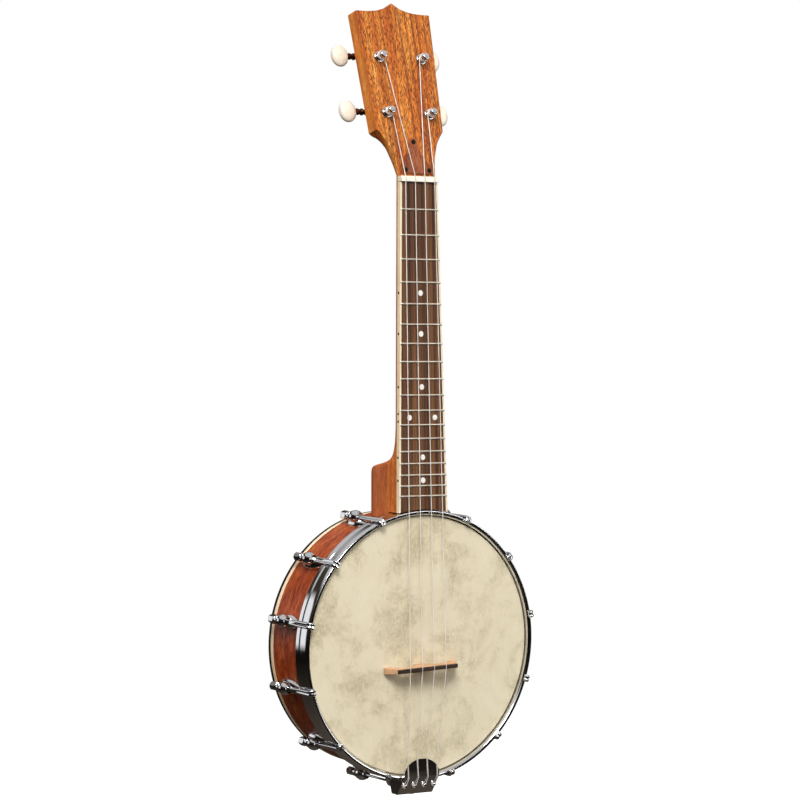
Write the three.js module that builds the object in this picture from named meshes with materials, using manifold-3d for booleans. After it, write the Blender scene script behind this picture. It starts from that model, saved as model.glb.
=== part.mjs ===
// Concert banjo ukulele with a closed back, twelve ball-shoe brackets and worm-geared tuners.
// Millimetres. +Z runs from the tail to the headstock, the head faces -Y, and +X is to the right
// of someone facing the head. The origin is the pot's axis on the outer face of the back.
import * as THREE from 'three';
import { mergeVertices } from 'three/addons/utils/BufferGeometryUtils.js';
import Module from 'manifold-3d';

const wasm = await Module();
wasm.setup();

// Scale and general fits
const scaleLength = 381;
const seatGap = 0.3;
const runningClearance = 0.16;
const cutOverrun = 4;

// Pot: wooden rim, back and head
const rimOuterRadius = 101.6;
const rimWall = 9;
const headHeight = 62.1;
const headThickness = 0.6;
const bearingEdgeRadius = 2.4;
const backThickness = 3;
const backEdgeWidth = 2.4;
const rimBindingHeight = 4.6;
const rimBindingWidth = 2.4;
const backScrewCount = 6;
const backScrewRadius = 1.5;
const backScrewHeadRadius = 3;
const backScrewLength = 15;
const backScrewFirstAngle = 30;

// Hoops
const skirtDepth = 7.5;
const fleshHoopWidth = 1.6;
const fleshHoopHeight = 4.6;
const hoopHeight = 18;
const hoopRise = 3.4;
const hoopWall = 1.9;
const hoopLipHeight = 6.6;
const hoopBandHeight = 5;
const hoopBandStep = 0.5;
const hoopCreaseDepth = 0.6;
const hoopCornerRadius = 2.4;

// Brackets
const bracketsPerSide = 6;
const bracketFirstAngle = 22.5;
const bracketPitch = 28.2;
const hookWireRadius = 1.4;
const hookBendRadius = 2.6;
const hookClawReach = 5.4;
const shoeBallRadius = 5.7;
const shoeHeight = 30;
const shoeFootWidth = 8;
const shoeFootLength = 13;
const shoeFlangeWidth = 12;
const shoeFlangeLength = 22;
const shoeFlangeThickness = 1.4;
const nutAcrossFlats = 6.5;
const nutLength = 13;
const nutSeatDepth = 0.2;
const hookThreadInNut = 4.3;
const shoeBoltRadius = 1.6;
const shoeBoltHeadRadius = 3.2;
const shoeBoltHeadHeight = 2.6;

// Rod across the pot and the neck and tail fixings
const rodHeight = 26;
const rodRadius = 4;
const rodEndRadius = 2.6;
const rodHeelReach = 24;
const neckBoltHeight = 38;
const neckBoltRadius = 2.6;
const neckBoltHeadRadius = 5;
const neckBoltHeadHeight = 3.4;
const strapWidth = 11;
const strapThickness = 1.6;
const endNutRadius = 5;
const endNutLength = 8;

// Tailpiece
const tailHalfWidth = 16.6;
const tailPlateThickness = 1.5;
const tailLift = 1.9;
const tailPlateInset = 4.2;
const tailPlateLength = 14;
const tailBoxLength = 15;
const tailLipDrop = 9.5;
const tailLipDepth = 8;
const tailBoxDepth = 20.5;
const tailWall = 1.5;
const hookPegRadius = 1.1;
const hookPegLength = 3.2;
const strapScrewRadius = 1.3;
const strapScrewHeadHeight = 1.4;

// Neck line: where the fretboard starts, its tilt back from the head and the headstock's tilt
const fretPlaneRise = 2.5;
const jointGap = 3.4;
const neckAngle = 3.5;
const headstockAngle = 13.3;
const lastFretStation = 13.1;
const hoopClearance = 0.6;

// Fretboard
const fretCount = 18;
const nutWidth = 35.3;
const boardEndWidth = 46;
const boardThickness = 3.8;
const bindingWidth = 1.7;
const fretRise = 1;
const fretWidth = 2.2;
const fretInset = 0.5;

// Nut and strings
const nutLengthAlongNeck = 5;
const nutCrown = 1.3;
const stringEdgeInset = 3.925;
const stringSpacingAtBridge = 11.25;
const stringRadius = 0.36;
const stringLiftAtNut = 0.75;
const windingLoops = 2.5;
const windingSteps = 12;
const windingGap = 0.52;
const windingClearance = 0.35;

// Neck and heel
const neckDepthAtNut = 11.6;
const neckDepthAtHeel = 12.4;
const neckPower = 1.75;
const heelDepth = 49;
const heelPower = 4;
const heelReach = 70;
const heelStart = -12;
const glueDepth = 17.6;
const trussChannelWidth = 6.4;
const trussChannelDepth = 7.6;
const trussRodRadius = 2.4;
const trussRodStart = 16;
const trussNutRadius = 2.7;
const trussNutLength = 8;

// Headstock
const headstockDrop = 3.8;
const headstockThickness = 12.5;
const headstockLength = 144;
const headstockShoulder = 37.7;
const headstockCrestHeight = 8;
const headstockTopHalfWidth = 35;
const headstockBottomHalfWidth = 31.4;
const throatPower = 10;
const pocketWidth = 8;
const pocketLength = 23;
const pocketDepth = 8.6;
const coverThickness = 1.8;
const coverLength = 29.5;
const coverHalfWidth = 14.4;
const coverTipRadius = 3.4;
const coverStart = 1.6;
const coverScrewRadius = 1.2;
const coverScrewHeadRadius = 1.9;
const coverScrewLength = 6;
const coverScrewHeadHeight = 0.9;

// Bridge
const bridgeHeight = 13.4;
const bridgeTopLength = 55.8;
const bridgeFootLength = 67.2;
const bridgeTopWidth = 3.2;
const bridgeFootWidth = 5;
const bridgeStripHeight = 2.4;
const bridgeFootHeight = 2.6;
const bridgeArchPlace = 16;
const bridgeArchHalfWidth = 10.5;
const bridgeArchHeight = 6;
const bridgeNotchDepth = 0.9;

// Tuning machines, in the headstock's own frame
const postEdgeInset = 11.4;
const lowerPostRise = 13.9;
const postRowSpacing = 46;
const postRadius = 3;
const postWaistDepth = 0.5;
const postCapHeight = 2.9;
const postHoleRadius = 0.8;
const bushingFlangeLip = 0.75;
const bushingFlangeHeight = 1.6;
const bushingWall = 0.84;
const bushingLength = 8;
const gearTeeth = 14;
const gearModule = 0.58;
const gearWidth = 2.6;
const gearStandoff = 5.1;
const toothShare = 0.36;
const wormPitchRadius = 2.35;
const wormLength = 5.4;
const wormShaftRadius = 1.5;
const wormBacklashShare = 0.1;
const earThickness = 1.5;
const earWidth = 6;
const earGap = 0.35;
const plateThickness = 1.1;
const plateHalfWidth = 6.6;
const plateTailLength = 13;
const plateNoseLength = 17;
const plateScrewRadius = 1;
const plateScrewHeadRadius = 1.9;
const plateScrewHeadHeight = 0.9;
const plateScrewLength = 7;
const collarRadius = 2.6;
const collarLength = 2;
const buttonOffset = 15.4;
const buttonLength = 16.4;
const buttonHalfHeight = 8.7;
const buttonHalfThickness = 3.7;
const buttonTang = 7;
const gearScrewHeadRadius = 2.2;
const gearScrewHeadHeight = 1.2;

// Facet counts
const ringSegments = 40;
const boltSides = 6;
const screwSides = 8;
const roundSides = 10;
const sectionPoints = 12;

const radians = (angle) => angle * Math.PI / 180;

// Planes, radii and places that follow from the sizes above
const rimInnerRadius = rimOuterRadius - rimWall;
const rimInnerFlat = rimInnerRadius * Math.cos(Math.PI / ringSegments);
const skirtInnerRadius = rimOuterRadius + seatGap;
const skirtOuterRadius = skirtInnerRadius + headThickness / 2;
const fleshInnerRadius = skirtOuterRadius + seatGap;
const fleshOuterRadius = fleshInnerRadius + fleshHoopWidth;
const hoopInnerRadius = skirtOuterRadius + seatGap;
const hoopSideRadius = fleshOuterRadius + seatGap + hoopWall;
const hoopOuterRadius = hoopSideRadius + hoopBandStep;
const hoopTop = -(headHeight + hoopRise);
const hoopBottom = hoopTop + hoopHeight;
const hookRadius = hoopOuterRadius + seatGap + hookWireRadius;
const nutEndHeight = shoeHeight - shoeBallRadius + nutSeatDepth - nutLength;
const hookTailHeight = shoeHeight - shoeBallRadius - hookThreadInNut;
const tailTopRadius = hoopOuterRadius - tailPlateInset - tailPlateLength;
const jointRadius = rimOuterRadius + jointGap;
const fretPlane = -(headHeight + fretPlaneRise);
const nutStation = lastFretStation + scaleLength * (1 - 2 ** (-fretCount / 12));
const bridgeStation = jointRadius + nutStation * Math.cos(radians(neckAngle)) - scaleLength;
const stringSpacingAtNut = (nutWidth - 2 * stringEdgeInset) / 3;
const headstockCorner = headstockLength - headstockCrestHeight;
const postHalfSpacing = headstockBottomHalfWidth - postEdgeInset;
const lowerPostStation = headstockShoulder + lowerPostRise;
const upperPostStation = lowerPostStation + postRowSpacing;
const postWaistRadius = postRadius - postWaistDepth;
const windingStart = bushingFlangeHeight + seatGap + postRadius / 2;
const windingPitch = 2 * stringRadius + windingGap;
const postExposed = windingStart + windingLoops * windingPitch + postCapHeight;
const bushingRadius = postRadius + runningClearance + bushingWall;
const bushingFlangeRadius = bushingRadius + bushingFlangeLip;
const gearCentreDepth = headstockThickness + seatGap + plateThickness + gearStandoff;
const boardTop = fretRise;
const boardUnder = boardTop + boardThickness;
const neckTop = boardUnder + seatGap;
const rimFloor = -(backThickness + seatGap);
const rimTop = -(headHeight - headThickness - seatGap);

// Closed body helpers
function bare(geometry) {
  const copy = geometry.index ? geometry.toNonIndexed() : geometry.clone();
  for (const name of Object.keys(copy.attributes)) {
    if (name !== 'position') copy.deleteAttribute(name);
  }
  const merged = mergeVertices(copy, 1e-4);
  const kept = [];
  const index = merged.index.array;
  for (let i = 0; i < index.length; i += 3) {
    const [a, b, c] = [index[i], index[i + 1], index[i + 2]];
    if (a !== b && b !== c && c !== a) kept.push(a, b, c);
  }
  merged.setIndex(kept);
  return merged;
}

function signedVolume(geometry) {
  const points = geometry.attributes.position;
  const index = geometry.index.array;
  const [a, b, c] = [new THREE.Vector3(), new THREE.Vector3(), new THREE.Vector3()];
  let volume = 0;
  for (let i = 0; i < index.length; i += 3) {
    a.fromBufferAttribute(points, index[i]);
    b.fromBufferAttribute(points, index[i + 1]);
    c.fromBufferAttribute(points, index[i + 2]);
    volume += a.dot(b.cross(c));
  }
  return volume;
}

// Turns the faces of a closed body outwards
function outward(geometry) {
  const body = bare(geometry);
  if (signedVolume(body) < 0) {
    const index = body.index.array;
    for (let i = 0; i < index.length; i += 3) [index[i], index[i + 1]] = [index[i + 1], index[i]];
  }
  return body;
}

function toManifold(geometry) {
  const body = outward(geometry);
  return new wasm.Manifold(new wasm.Mesh({
    numProp: 3,
    vertProperties: new Float32Array(body.attributes.position.array),
    triVerts: new Uint32Array(body.index.array),
  }));
}

function fromManifold(manifold) {
  const mesh = manifold.getMesh();
  const geometry = new THREE.BufferGeometry();
  geometry.setAttribute('position', new THREE.BufferAttribute(new Float32Array(mesh.vertProperties), 3));
  geometry.setIndex(new THREE.BufferAttribute(new Uint32Array(mesh.triVerts), 1));
  return geometry;
}

const joined = (first, ...rest) =>
  fromManifold(rest.reduce((sum, next) => sum.add(toManifold(next)), toManifold(first)));
const cut = (first, ...rest) =>
  fromManifold(rest.reduce((sum, next) => sum.subtract(toManifold(next)), toManifold(first)));
const common = (first, second) => fromManifold(toManifold(first).intersect(toManifold(second)));
const moved = (geometry, x, y, z) => geometry.clone().translate(x, y, z);

// Solids of revolution about Y, X or Z from [radius, place along the axis] points
function spunY(profile, sides = ringSegments) {
  const closed = [...profile, profile[0]].map(([radius, place]) => new THREE.Vector2(radius, place));
  return outward(new THREE.LatheGeometry(closed, sides));
}
const spunZ = (profile, sides = roundSides) => spunY(profile, sides).rotateX(Math.PI / 2);
const tubeProfile = (inner, outer, from, to) => [[inner, from], [outer, from], [outer, to], [inner, to]];
const rodProfile = (radius, from, to) => tubeProfile(0, radius, from, to);

// Drills: the flats of a drill lie at its radius, so a rod of that radius clears them
const drillY = (radius, from, to, sides = boltSides) =>
  spunY(rodProfile(radius / Math.cos(Math.PI / sides), from, to), sides);
const drillZ = (...sizes) => drillY(...sizes).rotateX(Math.PI / 2);
const drillX = (...sizes) => drillY(...sizes).rotateZ(-Math.PI / 2);

// Prisms: an outline carried along Z, along Y (outline in x, z) or along X (outline in y, z)
function prismZ(outline, from, to, holes = []) {
  const shape = new THREE.Shape(outline.map(([x, y]) => new THREE.Vector2(x, y)));
  for (const hole of holes) shape.holes.push(new THREE.Path(hole.map(([x, y]) => new THREE.Vector2(x, y))));
  const body = new THREE.ExtrudeGeometry(shape, { depth: to - from, bevelEnabled: false, steps: 1 });
  return outward(body.translate(0, 0, from));
}
const prismY = (outline, from, to) =>
  outward(prismZ(outline, -to, -from).rotateX(Math.PI / 2));
const yzToXy = new THREE.Matrix4().makeBasis(
  new THREE.Vector3(0, 1, 0), new THREE.Vector3(0, 0, 1), new THREE.Vector3(1, 0, 0));
const prismX = (outline, from, to) => outward(prismZ(outline, from, to).applyMatrix4(yzToXy));
const box = (x0, x1, y0, y1, z0, z1) => prismZ([[x0, y0], [x1, y0], [x1, y1], [x0, y1]], z0, z1);

// A body through rings of equal count, closed by a face at each end
function loft(rings) {
  const points = rings.flat();
  const count = rings[0].length;
  const index = [];
  for (let ring = 0; ring < rings.length - 1; ring += 1) {
    for (let i = 0; i < count; i += 1) {
      const a = ring * count + i;
      const b = ring * count + (i + 1) % count;
      index.push(a, b, b + count, a, b + count, a + count);
    }
  }
  for (const [ring, flip] of [[0, true], [rings.length - 1, false]]) {
    for (const [a, b, c] of capFaces(rings[ring])) {
      const base = ring * count;
      if (flip) index.push(base + a, base + c, base + b);
      else index.push(base + a, base + b, base + c);
    }
  }
  const geometry = new THREE.BufferGeometry();
  const numbers = points.flatMap((point) => point.toArray());
  geometry.setAttribute('position', new THREE.Float32BufferAttribute(numbers, 3));
  geometry.setIndex(index);
  return outward(geometry);
}

function capFaces(ring) {
  const normal = new THREE.Vector3();
  ring.forEach((point, i) => normal.add(point.clone().cross(ring[(i + 1) % ring.length])));
  normal.normalize();
  const side = Math.abs(normal.x) > 0.7 ? new THREE.Vector3(0, 1, 0) : new THREE.Vector3(1, 0, 0);
  const u = side.clone().cross(normal).normalize();
  const v = normal.clone().cross(u);
  const flat = ring.map((point) => new THREE.Vector2(point.dot(u), point.dot(v)));
  return THREE.ShapeUtils.triangulateShape(flat, []);
}

// A curve that passes through its points in even steps, so a tube along it has a ring at each
class Route extends THREE.Curve {
  constructor(points) {
    super();
    this.points = points;
  }

  getPoint(t, target = new THREE.Vector3()) {
    const place = t * (this.points.length - 1);
    const from = Math.min(Math.floor(place), this.points.length - 2);
    return target.lerpVectors(this.points[from], this.points[from + 1], place - from);
  }

  getPointAt(u, target) {
    return this.getPoint(u, target);
  }

  getTangentAt(u, target = new THREE.Vector3()) {
    const last = this.points.length - 1;
    const here = Math.round(u * last);
    const before = this.points[Math.max(here - 1, 0)];
    const after = this.points[Math.min(here + 1, last)];
    const middle = this.points[here];
    const into = middle.clone().sub(before).normalize();
    const out = after.clone().sub(middle).normalize();
    return target.copy(into).add(out).normalize();
  }
}

function tubeAlong(points, radius, sides) {
  const section = new THREE.Shape(Array.from({ length: sides }, (_, i) => new THREE.Vector2(
    radius * Math.cos(2 * Math.PI * i / sides), radius * Math.sin(2 * Math.PI * i / sides))));
  return outward(new THREE.ExtrudeGeometry(section, {
    steps: points.length - 1, bevelEnabled: false, extrudePath: new Route(points),
  }));
}

// Frames: the neck tilts back from the pot, and the headstock tilts back from the neck
const neckFrame = new THREE.Group();
neckFrame.position.set(0, fretPlane, jointRadius);
neckFrame.rotation.x = -radians(neckAngle);
const headFrame = new THREE.Group();
headFrame.position.set(0, headstockDrop, nutStation + nutLengthAlongNeck);
headFrame.rotation.x = -radians(headstockAngle);
neckFrame.add(headFrame);

const instrument = new THREE.Group();
instrument.add(neckFrame);
instrument.updateMatrixWorld(true);
const worldToNeck = neckFrame.matrixWorld.clone().invert();
const headToNeck = headFrame.matrix.clone();
const headToWorld = headFrame.matrixWorld.clone();
const neckToWorld = neckFrame.matrixWorld.clone();
const inNeck = (geometry) => geometry.clone().applyMatrix4(worldToNeck);

// Finishes
const finish = (color, roughness, metalness = 0) =>
  new THREE.MeshStandardMaterial({ color, roughness, metalness });
const mahogany = finish('#b4652e', 0.35);
const rimMahogany = finish('#8f4423', 0.3);
const darkWood = finish('#4a2e20', 0.6);
const ebony = finish('#2a1e14', 0.5);
const maple = finish('#d9a47c', 0.55);
const cream = finish('#ebd9ae', 0.45);
const black = finish('#17130f', 0.4);
const skin = finish('#e5dabd', 0.8);
const chrome = finish('#d9dadc', 0.12, 1);
const steel = finish('#9a9c9f', 0.35, 1);
const bone = finish('#f3efdc', 0.5);
const ivory = finish('#f0e6d2', 0.35);
const nylon = finish('#e6d5c8', 0.3);

function add(name, geometry, material, parent = instrument) {
  const mesh = new THREE.Mesh(outward(geometry), material);
  mesh.name = name;
  parent.add(mesh);
  return mesh;
}

// The four strings' places across the neck, in string spacings
const stringPlaceShares = [-1.5, -0.5, 0.5, 1.5];

// Bracket angles are measured from the neck, half of them to each side
const bracketAngles = [];
for (let step = 0; step < bracketsPerSide; step += 1) {
  const angle = radians(bracketFirstAngle + step * bracketPitch);
  bracketAngles.push(angle, -angle);
}
// Turns a piece built at the top of the pot, in the plane x = 0, to an angle round the pot
const around = (geometry, angle) => geometry.clone().rotateY(angle);

// Pot
function buildRim() {
  const chamfer = bearingEdgeRadius;
  const body = spunY([
    [rimInnerRadius, rimFloor],
    [rimOuterRadius - rimBindingWidth - seatGap, rimFloor],
    [rimOuterRadius - rimBindingWidth - seatGap, rimFloor - rimBindingHeight - seatGap],
    [rimOuterRadius, rimFloor - rimBindingHeight - seatGap],
    [rimOuterRadius, rimTop + chamfer / 2],
    [rimOuterRadius - chamfer / 2, rimTop],
    [rimInnerRadius + chamfer, rimTop + chamfer],
    [rimInnerRadius, rimTop + 2 * chamfer],
  ]);
  const wallFrom = rimInnerRadius - cutOverrun;
  const wallTo = rimOuterRadius + cutOverrun;
  const boltHole = moved(drillZ(shoeBoltRadius + seatGap, wallFrom, wallTo), 0, -shoeHeight, 0);
  const holes = bracketAngles.map((angle) => around(boltHole, angle));
  const rodHole = drillZ(rodEndRadius + seatGap, wallFrom, wallTo);
  holes.push(moved(rodHole, 0, -rodHeight, 0), around(moved(rodHole, 0, -rodHeight, 0), Math.PI));
  const neckBoltHole = drillZ(neckBoltRadius + seatGap, wallFrom, wallTo);
  holes.push(moved(neckBoltHole, 0, -neckBoltHeight, 0));
  const pilot = drillY(backScrewRadius + seatGap, rimFloor - backScrewLength, cutOverrun);
  for (const angle of backScrewAngles) holes.push(around(moved(pilot, 0, 0, backScrewCircle), angle));
  add('rim', cut(body, ...holes), rimMahogany);

  add('rim_binding', spunY(tubeProfile(rimOuterRadius - rimBindingWidth, rimOuterRadius,
    rimFloor - rimBindingHeight, rimFloor)), cream);
}

const backScrewCircle = rimInnerRadius + (rimWall - rimBindingWidth) / 2;
const backScrewAngles = Array.from({ length: backScrewCount },
  (_, i) => radians(backScrewFirstAngle) + 2 * Math.PI * i / backScrewCount);

// The back's screws are one piece with it here, each head sunk in a counterbore
function buildBack() {
  const plateRadius = rimOuterRadius - backEdgeWidth - seatGap;
  const headDepth = backScrewHeadRadius - backScrewRadius;
  const disc = spunY(rodProfile(plateRadius, -backThickness, 0));
  const recess = moved(drillY(backScrewHeadRadius + seatGap, -headDepth, cutOverrun), 0, 0, backScrewCircle);
  const screw = moved(spunY([
    [0, -backScrewLength], [backScrewRadius, backScrewRadius - backScrewLength],
    [backScrewRadius, -headDepth - seatGap], [backScrewHeadRadius, -seatGap], [0, -seatGap]], boltSides),
  0, 0, backScrewCircle);
  const plate = cut(disc, ...backScrewAngles.map((angle) => around(recess, angle)));
  add('back_plate', joined(plate, ...backScrewAngles.map((angle) => around(screw, angle))), mahogany);
  const edge = tubeProfile(rimOuterRadius - backEdgeWidth, rimOuterRadius, -backThickness, 0);
  add('back_edge_binding', spunY(edge), black);
}

function buildHead() {
  const outer = skirtOuterRadius;
  const inner = skirtInnerRadius;
  const top = -headHeight;
  const roll = bearingEdgeRadius / 2;
  add('head', spunY([
    [0, top + headThickness], [inner - roll, top + headThickness], [inner, top + headThickness + roll],
    [inner, top + skirtDepth], [outer, top + skirtDepth],
    [outer, top + roll], [outer - roll, top], [0, top]]), skin);
  const fleshTop = hoopTop + hoopLipHeight + seatGap;
  add('flesh_hoop', spunY(tubeProfile(fleshInnerRadius, fleshOuterRadius,
    fleshTop, fleshTop + fleshHoopHeight)), steel);
}

function buildTensionHoop() {
  const corner = hoopCornerRadius;
  const crease = hoopBottom - hoopBandHeight;
  add('tension_hoop', spunY([
    [hoopInnerRadius, hoopTop + hoopLipHeight],
    [hoopInnerRadius, hoopTop],
    [hoopSideRadius - corner, hoopTop],
    [hoopSideRadius - corner * (1 - Math.SQRT1_2), hoopTop + corner * (1 - Math.SQRT1_2)],
    [hoopSideRadius, hoopTop + corner],
    [hoopSideRadius, crease - hoopCreaseDepth],
    [hoopSideRadius - hoopCreaseDepth, crease],
    [hoopOuterRadius, crease + hoopCreaseDepth],
    [hoopOuterRadius, hoopBottom],
    [fleshOuterRadius + seatGap, hoopBottom],
    [fleshOuterRadius + seatGap, hoopTop + hoopLipHeight],
  ]), chrome);
}

// Each bracket is a hook, the ball shoe that it passes through, the shoe's bolt and the hook's nut
function bracketHook() {
  const clawHeight = hoopTop - seatGap - hookWireRadius;
  const bendSteps = 3;
  const arc = Array.from({ length: bendSteps + 1 }, (_, step) => {
    const turn = step * Math.PI / 2 / bendSteps;
    return new THREE.Vector3(0, clawHeight + hookBendRadius * (1 - Math.sin(turn)),
      hookRadius - hookBendRadius * (1 - Math.cos(turn)));
  });
  return tubeAlong([
    new THREE.Vector3(0, -hookTailHeight, hookRadius), ...arc,
    new THREE.Vector3(0, clawHeight, hookRadius - hookClawReach)], hookWireRadius, boltSides);
}

function bracketShoe() {
  const ball = shoeBallRadius;
  const collar = nutAcrossFlats / 2;
  const latitudes = [-52, -20, 20, 52];
  const round = spunY([[0, -ball], [collar, -ball],
    ...latitudes.map((angle) => [ball * Math.cos(radians(angle)), ball * Math.sin(radians(angle))]),
    [collar, ball], [0, ball]], screwSides);
  const wallFace = rimOuterRadius + seatGap - hookRadius;
  const foot = box(-shoeFootWidth / 2, shoeFootWidth / 2, -shoeFootLength / 2, shoeFootLength / 2,
    wallFace, 0);
  const flange = prismZ(Array.from({ length: screwSides }, (_, i) => {
    const turn = 2 * Math.PI * i / screwSides;
    return [shoeFlangeWidth / 2 * Math.cos(turn), shoeFlangeLength / 2 * Math.sin(turn)];
  }), wallFace, wallFace + shoeFlangeThickness);
  return moved(joined(round, foot, flange), 0, -shoeHeight, hookRadius);
}

function bracketNut() {
  const acrossCorners = nutAcrossFlats / 2 / Math.cos(Math.PI / boltSides);
  const chamfer = nutAcrossFlats / 10;
  const seat = -nutEndHeight - nutLength;
  return moved(spunY([
    [0, seat], [acrossCorners, seat], [acrossCorners, -nutEndHeight - chamfer],
    [acrossCorners - chamfer, -nutEndHeight], [0, -nutEndHeight]], boltSides), 0, 0, hookRadius);
}

function shoeBolt() {
  const headFace = rimInnerFlat - seatGap;
  return moved(spunZ([
    [0, headFace - shoeBoltHeadHeight], [shoeBoltHeadRadius, headFace - shoeBoltHeadHeight],
    [shoeBoltHeadRadius, headFace], [shoeBoltRadius, headFace], [shoeBoltRadius, hookRadius], [0, hookRadius],
  ], boltSides), 0, -shoeHeight, 0);
}

function buildBrackets() {
  const bracket = joined(bracketShoe(), bracketHook(), bracketNut(), shoeBolt());
  bracketAngles.forEach((angle, i) => {
    const number = String(i + 1).padStart(2, '0');
    add(`bracket_${number}`, around(bracket, angle), chrome);
  });
}

function buildRod() {
  const inside = rimInnerFlat - seatGap;
  const tailEnd = strapThickness + endNutLength / 2 - strapFace;
  add('coordinator_rod', moved(spunZ([
    [0, -tailEnd], [rodEndRadius, -tailEnd], [rodEndRadius, -inside], [rodRadius, -inside],
    [rodRadius, inside], [rodEndRadius, inside], [rodEndRadius, rimOuterRadius + rodHeelReach],
    [0, rimOuterRadius + rodHeelReach]]), 0, -rodHeight, 0), steel);
  add('end_spacer', moved(spunZ(tubeProfile(rodEndRadius + seatGap, endNutRadius,
    strapFace + seatGap, -rimOuterRadius - seatGap)), 0, -rodHeight, 0), chrome);
  const nutFace = strapFace - strapThickness - seatGap;
  const nutBlind = tailEnd + seatGap;
  add('end_nut', moved(spunZ([
    [rodEndRadius + seatGap, nutFace], [endNutRadius, nutFace], [endNutRadius, nutFace - endNutLength / 2],
    [endNutRadius * 0.7, nutFace - endNutLength * 0.8], [0, nutFace - endNutLength], [0, -nutBlind],
    [rodEndRadius + seatGap, -nutBlind]], roundSides), 0, -rodHeight, 0), chrome);
  const headFace = rimInnerFlat - seatGap;
  add('neck_bolt', moved(spunZ([
    [0, headFace - neckBoltHeadHeight], [neckBoltHeadRadius, headFace - neckBoltHeadHeight],
    [neckBoltHeadRadius, headFace], [neckBoltRadius, headFace],
    [neckBoltRadius, rimOuterRadius + rodHeelReach], [0, rimOuterRadius + rodHeelReach],
  ], boltSides), 0, -neckBoltHeight, 0), steel);
}

// Tailpiece: a rounded plate over the hoop, a sloping box with the string pegs, and its strap
const tailPlateFront = hoopTop - tailLift - tailPlateThickness;
const tailPlateEnd = -(tailTopRadius + tailPlateLength);
const tailLipEnd = tailPlateEnd - tailBoxLength;
const tailLipFront = tailPlateFront + tailLipDrop;
const tailPegPlace = tailPlateEnd - tailBoxLength / 2;
const tailPegFace = tailPlateFront + tailLipDrop / 2;
const stringSpacingAtTail = tailHalfWidth * 0.55;
const strapFace = -(hoopOuterRadius + 2 * seatGap);
const strapLugFace = tailLipEnd + tailWall + seatGap;
const strapTop = tailLipFront + tailPlateThickness + seatGap * 2;
const strapScrewHeight = strapTop + strapThickness + seatGap + strapScrewRadius;

function buildTailpiece() {
  const half = tailHalfWidth;
  const arcSteps = 10;
  const arc = Array.from({ length: arcSteps + 1 }, (_, i) => {
    const turn = Math.PI * i / arcSteps;
    return [half * Math.cos(turn), tailPlateEnd + tailPlateLength * Math.sin(turn)];
  });
  const plate = prismY(arc, tailPlateFront, tailPlateFront + tailPlateThickness);
  const back = tailPlateFront + tailBoxDepth;
  const cheekEnd = tailPlateEnd + tailWall;
  const outer = prismX([
    [tailPlateFront + tailPlateThickness / 2, cheekEnd], [tailPlateFront, tailPlateEnd],
    [tailLipFront, tailLipEnd], [tailLipFront + tailLipDepth, tailLipEnd],
    [back, tailLipEnd + tailLipDepth], [back, cheekEnd],
  ], -half, half);
  const hollow = prismX([
    [tailPlateFront + tailPlateThickness, tailPlateEnd + cutOverrun],
    [tailPlateFront + tailPlateThickness, tailPlateEnd],
    [tailLipFront + tailPlateThickness, tailLipEnd + tailWall],
    [back + cutOverrun, tailLipEnd + tailWall], [back + cutOverrun, tailPlateEnd + cutOverrun],
  ], -half + tailWall, half - tailWall);
  const hoopRoom = spunY(rodProfile(hoopOuterRadius + seatGap, hoopTop - seatGap, 0));
  const pegs = stringPlaceShares.map((place) => moved(
    spunY(rodProfile(hookPegRadius, tailPegFace - hookPegLength, tailPegFace + tailWall), boltSides),
    place * stringSpacingAtTail, 0, tailPegPlace));
  const screwDrill = drillZ(strapScrewRadius + seatGap, tailLipEnd - cutOverrun, tailLipEnd + tailWall * 2);
  const screwHole = moved(screwDrill, 0, strapScrewHeight, 0);
  add('tailpiece', cut(joined(cut(outer, hollow), plate, ...pegs), hoopRoom, screwHole), chrome);

  const halfStrap = strapWidth / 2;
  const strap = box(-halfStrap, halfStrap, strapTop, halfStrap - rodHeight,
    strapFace - strapThickness, strapFace);
  const foot = box(-halfStrap, halfStrap, strapTop, strapTop + strapThickness, strapLugFace, strapFace);
  const lug = box(-halfStrap, halfStrap, strapTop, strapScrewHeight + strapScrewRadius * 2,
    strapLugFace, strapLugFace + strapThickness);
  const boltHole = moved(drillZ(rodEndRadius + seatGap, strapFace - strapThickness - cutOverrun,
    strapFace + cutOverrun), 0, -rodHeight, 0);
  const lugDrill = drillZ(strapScrewRadius + seatGap, tailLipEnd, strapLugFace + strapThickness + seatGap);
  const lugHole = moved(lugDrill, 0, strapScrewHeight, 0);
  add('tailpiece_strap', cut(joined(strap, foot, lug), boltHole, lugHole), chrome);

  const screwFace = tailLipEnd - seatGap;
  const headRadius = strapScrewRadius * 1.8;
  const screwTip = strapLugFace + strapThickness + seatGap;
  add('tailpiece_screw', moved(spunZ([
    [0, screwFace - strapScrewHeadHeight], [headRadius, screwFace - strapScrewHeadHeight],
    [headRadius, screwFace], [strapScrewRadius, screwFace], [strapScrewRadius, screwTip], [0, screwTip],
  ], boltSides), 0, strapScrewHeight, 0), steel);
}

// Neck
const fretStation = (fret) => nutStation - scaleLength * (1 - 2 ** (-fret / 12));
const boardHalfWidth = (station) => {
  const share = (nutStation - station) / nutStation;
  return (nutWidth + (boardEndWidth - nutWidth) * share) / 2;
};

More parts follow.
